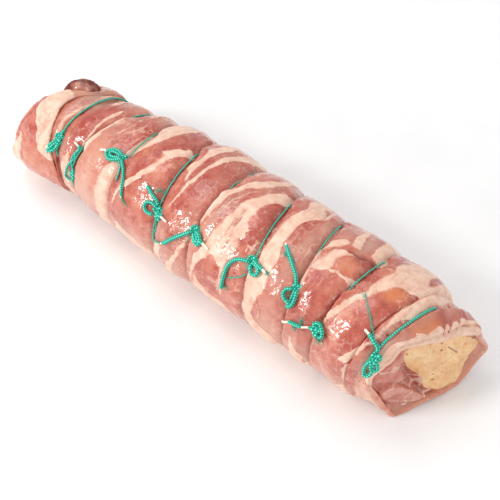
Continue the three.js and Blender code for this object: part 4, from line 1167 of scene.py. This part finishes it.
# Knots are (x, phi, half width, half length, lift), points of cords (x, phi, lift) and frays
# (x, phi, towards x and phi, threads, seed, length, curl)
tie(0, 0.5, [(-125, 43, 2.2, 2.6, 0.9), (-124.6, 36, 2.0, 2.8, 1.0)],
    [([(-125, 40, 0.6), (-127.4, 31, 0.8), (-129, 25, 0.4)], 0.95, 2.2),
     ([(-124, 38, 0.8), (-126, 30, 1.0), (-127.6, 23.5, 0.6), (-125.6, 25, 0.8), (-123.4, 32, 1.0),
       (-123.4, 38, 0.8)], 0.95, 0),
     ([(-124.4, 54, 0.1), (-124.8, 48, 0.3), (-125, 44, 0.6)], 0.95, 0)],
    [(-126, 28, -2, -6, 14, 1)])
tie(1, 0.42, [(-108.6, 9, 1.6, 2.6, 0.7)],
    [([(-107.8, 48, 0.2), (-109.6, 40, 0.2), (-109.8, 30, 0.1), (-111.6, 22, 0.1), (-113, 12, 0.1),
       (-114, 2, 0.1)], 0.62, 0),
     ([(-108, 46, 0.3), (-109.4, 46.6, 0.5), (-113, 48.5, 0.5)], 0.9, 3.4),
     ([(-108.4, 44, 0.2), (-110.6, 34, 0.3), (-110.8, 24, 0.2), (-109.2, 16, 0.3), (-108.4, 10, 0.5)],
       0.62, 0),
     ([(-114, 2, 0.1), (-110, 1, 0.3), (-108, 3, 0.5)], 0.62, 0)])
tie(2, 0.36, [(-79, 61.4, 2.4, 2.6, 0.9)],
    [([(-79, 63, 1.2), (-83, 65.4, 0.7), (-87.6, 62.8, 0.5), (-89, 58, 0.5), (-86, 54, 0.5),
       (-80.6, 57, 0.8), (-78, 60, 1.2)], 0.95, 0),
     ([(-79.4, 62, 1.6), (-83, 62.6, 1.4), (-86.6, 60.6, 1.0), (-86, 57.8, 1.0), (-82, 58.4, 1.3),
       (-79, 60.4, 1.5)], 0.9, 0),
     ([(-87.4, 60, 0.4), (-90.4, 59.4, 0.3), (-94, 56.8, 0.2)], 0.95, 4.4),
     ([(-77.8, 58.6, 0.7), (-75.4, 53, 0.4), (-74.2, 46, 0.3), (-73.4, 39, 0.2)], 0.5, 0),
     ([(-77.4, 59.6, 0.7), (-73.2, 54, 0.4), (-68.6, 44, 0.3), (-66.4, 36, 0.3), (-64.8, 28, 0.3)], 0.8,
       0.9)],
    [(-65, 29, 3, -4, 12, 2, 5.0, 0.8), (-62, 27, 5, -4, 8, 3, 5.0, 0.6)])
tie(3, 0.38, [(-40.4, 36, 2.5, 3.2, 0.9), (-38, 33, 2.2, 2.2, 1.0)],
    [([(-41, 39, 1.0), (-44.6, 41, 0.7), (-47.6, 38.6, 0.6), (-47.6, 34, 0.6), (-44.4, 31, 0.6),
       (-41, 32, 1.0)], 0.95, 0),
     ([(-41, 41, 0.8), (-43, 44.4, 0.4), (-47.6, 48, 0.3), (-51, 51, 0.3), (-55, 53.6, 0.3)], 0.95, 3.0),
     ([(-38.6, 34, 1.0), (-35.6, 34.6, 0.6), (-30.8, 33.6, 0.4)], 0.95, 4.6),
     ([(-40, 30, 0.6), (-38.6, 22, 0.2), (-38.4, 16, 0.1), (-39.4, 8, 0.1), (-37, 6.2, 0.1),
       (-32.6, 8.6, 0.2)], 0.42, 0)],
    [(-47, 51, 2, 4, 10, 4, 5.0, 0.8), (-44, 54, 3, 1, 6, 5, 4.0, 0.6)])
tie(4, 0.36, [(-14, 40, 2.4, 3.4, 0.9)],
    [([(-13, 41, 1.0), (-10.4, 41, 0.7), (-7.6, 36, 0.6), (-7.8, 32, 0.6), (-10, 33, 0.9),
       (-12.6, 38, 1.1)], 0.95, 0),
     ([(-12, 40, 1.4), (-9.6, 38, 1.2), (-8.8, 34, 1.1), (-10.6, 35.6, 1.2), (-13, 39, 1.3)], 0.9, 0),
     ([(-9, 36, 0.6), (-5.6, 36.2, 0.4), (-0.6, 34.6, 0.3)], 1.0, 4.4),
     ([(-15, 38.6, 0.8), (-18, 33.4, 0.4), (-24, 23, 0.3), (-28.4, 14.4, 0.3), (-31.4, 9.8, 0.3)], 1.05,
       2.0)],
    [(-13.6, 35, 0.4, -8, 10, 6, 5.0, 0.7)])
tie(5, 0.38, [(23.4, 46, 2.3, 3.4, 0.9)],
    [([(24, 45, 1.0), (27, 45.4, 0.7), (30, 43.6, 0.6), (30.2, 39, 0.6), (28, 37.4, 0.6),
       (25.8, 40.6, 0.8), (24.4, 44, 1.0)], 0.95, 0),
     ([(23, 45, 0.8), (19, 43.4, 0.4), (15.6, 39.4, 0.3), (13.6, 32, 0.3), (13.4, 22, 0.3),
       (13.4, 14, 0.3), (13.2, 7, 0.3)], 1.0, 0.8),
     ([(24, 48, 0.8), (28, 46.8, 0.5), (34.6, 45, 0.3)], 1.0, 2.6),
     ([(24.6, 34, 0.1), (22, 29, 0.1), (18, 24, 0.1), (15, 21, 0.2)], 0.3, 0)],
    [(34, 46, 2, -1, 16, 7, 3.0, 1.0), (13.4, 11, 2, 0, 12, 8, 3.0, 0.7)])
tie(6, 0.36, [(52.4, 48, 2.4, 2.6, 0.9)],
    [([(51.4, 46, 0.9), (48.6, 43.4, 0.6), (48, 38.6, 0.5), (50.4, 34.6, 0.5), (53, 33.4, 0.6),
       (53.4, 31, 0.6)], 0.95, 0),
     ([(52, 47, 1.2), (52.4, 40, 0.9), (52.8, 34, 0.8), (53.4, 30.6, 0.7), (55, 34, 0.8), (55, 42, 0.9),
       (54, 47, 1.1)], 0.95, 0),
     ([(51.6, 49, 0.8), (49, 56, 0.4), (44.6, 62, 0.3), (40, 67, 0.3), (36.4, 71, 0.3), (33.6, 74, 0.3)],
       0.95, 1.6)],
    [(40, 66, -4, 1, 12, 9, 4.0, 0.8), (44, 65, -3, 2, 8, 10, 4.0, 0.6)])
tie(7, 0.4, [(72.6, 27, 2.4, 2.4, 1.0)],
    [([(69.2, 29, 0.7), (70.6, 32.6, 1.0), (73.4, 33.6, 1.3), (75.8, 30.8, 1.4), (76.7, 27.4, 1.3),
       (76, 24.4, 0.9), (74.4, 23.8, 0.8)], 0.95, 0),
     ([(73.2, 24, 1.2), (70.4, 26.4, 0.8), (68, 25.4, 0.5), (63.8, 21.4, 0.3)], 0.85, 4.8),
     ([(64.6, 23, 0.3), (60.6, 20.6, 0.3), (57.4, 19.2, 0.3), (52.2, 13, 0.3)], 0.95, 6.2)],
    [(60.4, 19, 0.6, -6, 14, 11, 3.0, 1.2), (74.4, 23.4, 0.3, -5, 24, 12, 3.6, 1.4),
     (63.4, 25, -1.6, 5, 14, 13, 3.2, 1.2)])
tie(8, 0.62, [(104.8, 36, 2.1, 2.8, 1.0)],
    [([(104.6, 34, 1.2), (102.6, 28, 0.8), (102.2, 20, 0.6), (103.4, 14.6, 0.5), (105.2, 17, 0.7),
       (105.6, 26, 0.9), (105.2, 34, 1.2)], 0.95, 0),
     ([(105.6, 34, 1.4), (107.2, 30, 0.9), (107.4, 25, 0.7), (106.2, 23, 0.8), (104.8, 27, 1.3),
       (104.4, 33, 1.5)], 0.9, 0),
     ([(104.4, 42, 0.8), (103.4, 46, 0.7), (100.6, 49, 0.4), (97.4, 51.4, 0.3), (94, 53, 0.3)], 1.1, 3.0),
     ([(103.6, 46, 0.4), (99.6, 52, 0.2), (95.4, 59, 0.2), (92, 65, 0.2), (87, 71, 0.15),
       (83.4, 76, 0.1)], 0.2, 0)],
    [(99, 53, -3.5, 7, 4, 14, 8.0, 0.4), (94, 61.5, -4.5, 6, 4, 15, 9.0, 0.5),
     (84.6, 74, -1.4, 2, 9, 17, 2.4, 0.8)], pitch=1.35)

# ------------------------------------------------------------------ table, light and camera
# A plain white sweep under soft daylight from all round. Two small lamps at the front left draw the
# wet highlights, a broad one above and a weak one at the right fill in. The camera stands above
# the open end.

table_finish = bpy.data.materials.new("white_table")
table_finish.use_nodes = True
tree = table_finish.node_tree
paint = tree.nodes["Principled BSDF"]
shade = mixed(tree, ramp(tree, speckle(tree, 40.0), 0.4, 0.6), (0.93, 0.93, 0.93, 1), (0.95, 0.95, 0.95, 1))
tree.links.new(shade, paint.inputs["Base Color"])
paint.inputs["Roughness"].default_value = 0.7
paint.inputs["Specular IOR Level"].default_value = 0.2

TABLE_HALF, TABLE_POINTS, TABLE_BELOW = 3.0, 5, 0.0002
line = np.linspace(-TABLE_HALF, TABLE_HALF, TABLE_POINTS)
u, v = np.meshgrid(line, line)
cell = (np.arange(TABLE_POINTS - 1)[:, None] * TABLE_POINTS + np.arange(TABLE_POINTS - 1)).ravel()
sweep = bpy.data.meshes.new("white_table")
sweep.from_pydata(np.stack([u, v, 0 * u - TABLE_BELOW], -1).reshape(-1, 3).tolist(), [],
                  np.stack([cell, cell + 1, cell + TABLE_POINTS + 1, cell + TABLE_POINTS], 1).tolist())
sweep.materials.append(table_finish)
table = bpy.data.objects.new("white_table", sweep)
bpy.context.scene.collection.objects.link(table)
table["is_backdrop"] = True

world = bpy.data.worlds.new("soft_room")
world.use_nodes = True
world.node_tree.nodes["Background"].inputs["Color"].default_value = (1, 1, 1, 1)
world.node_tree.nodes["Background"].inputs["Strength"].default_value = 0.74
bpy.context.scene.world = world


def lamp(name, towards, far, width, power):
    """A square lamp at a distance in a direction, facing the roll."""
    light = bpy.data.lights.new(name, "AREA")
    light.size = width
    light.energy = power
    holder = bpy.data.objects.new(name, light)
    way = Vector(towards).normalized()
    holder.location = way * far
    holder.rotation_euler = way.to_track_quat("Z", "Y").to_euler()
    bpy.context.scene.collection.objects.link(holder)


lamp("low_front_lamp", (-0.42, -0.83, 0.36), far=1.3, width=0.16, power=2.4)
lamp("front_left_lamp", (-0.42, -0.66, 0.66), far=1.3, width=0.24, power=5.6)
lamp("top_lamp", (-0.42, 0.05, 0.92), far=1.3, width=0.6, power=2.6)
lamp("right_lamp", (0.9, -0.1, 0.55), far=1.5, width=0.3, power=1.6)

# the camera looks down the direction given by azimuth and elevation at the middle of the roll
azimuth, elevation = np.radians(40.4), np.radians(49.35)
target, distance = np.array([AIM * 0.001, 0, 0.0258]), 0.6584
flat_way = np.array([np.sin(azimuth), -np.cos(azimuth), 0])
back = flat_way * np.cos(elevation) + [0, 0, np.sin(elevation)]
right = np.array([np.cos(azimuth), np.sin(azimuth), 0])
pose = np.eye(4)
pose[:3] = np.stack([right, np.cross(back, right), back, target + back * distance], 1)
lens = bpy.data.cameras.new("camera")
lens.lens = 86.4
lens.sensor_width = 36.0
lens.clip_start, lens.clip_end = 0.01, 20
camera = bpy.data.objects.new("camera", lens)
camera.matrix_world = Matrix(pose.tolist())
bpy.context.scene.collection.objects.link(camera)
bpy.context.scene.camera = camera
bpy.context.scene.view_settings.view_transform = "Standard"
bpy.context.scene.view_settings.look = "None"

plain = lambda box: [[float(v) for v in corner] for corner in box]
{"solids": plain(solid_box), "visual": plain(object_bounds())}
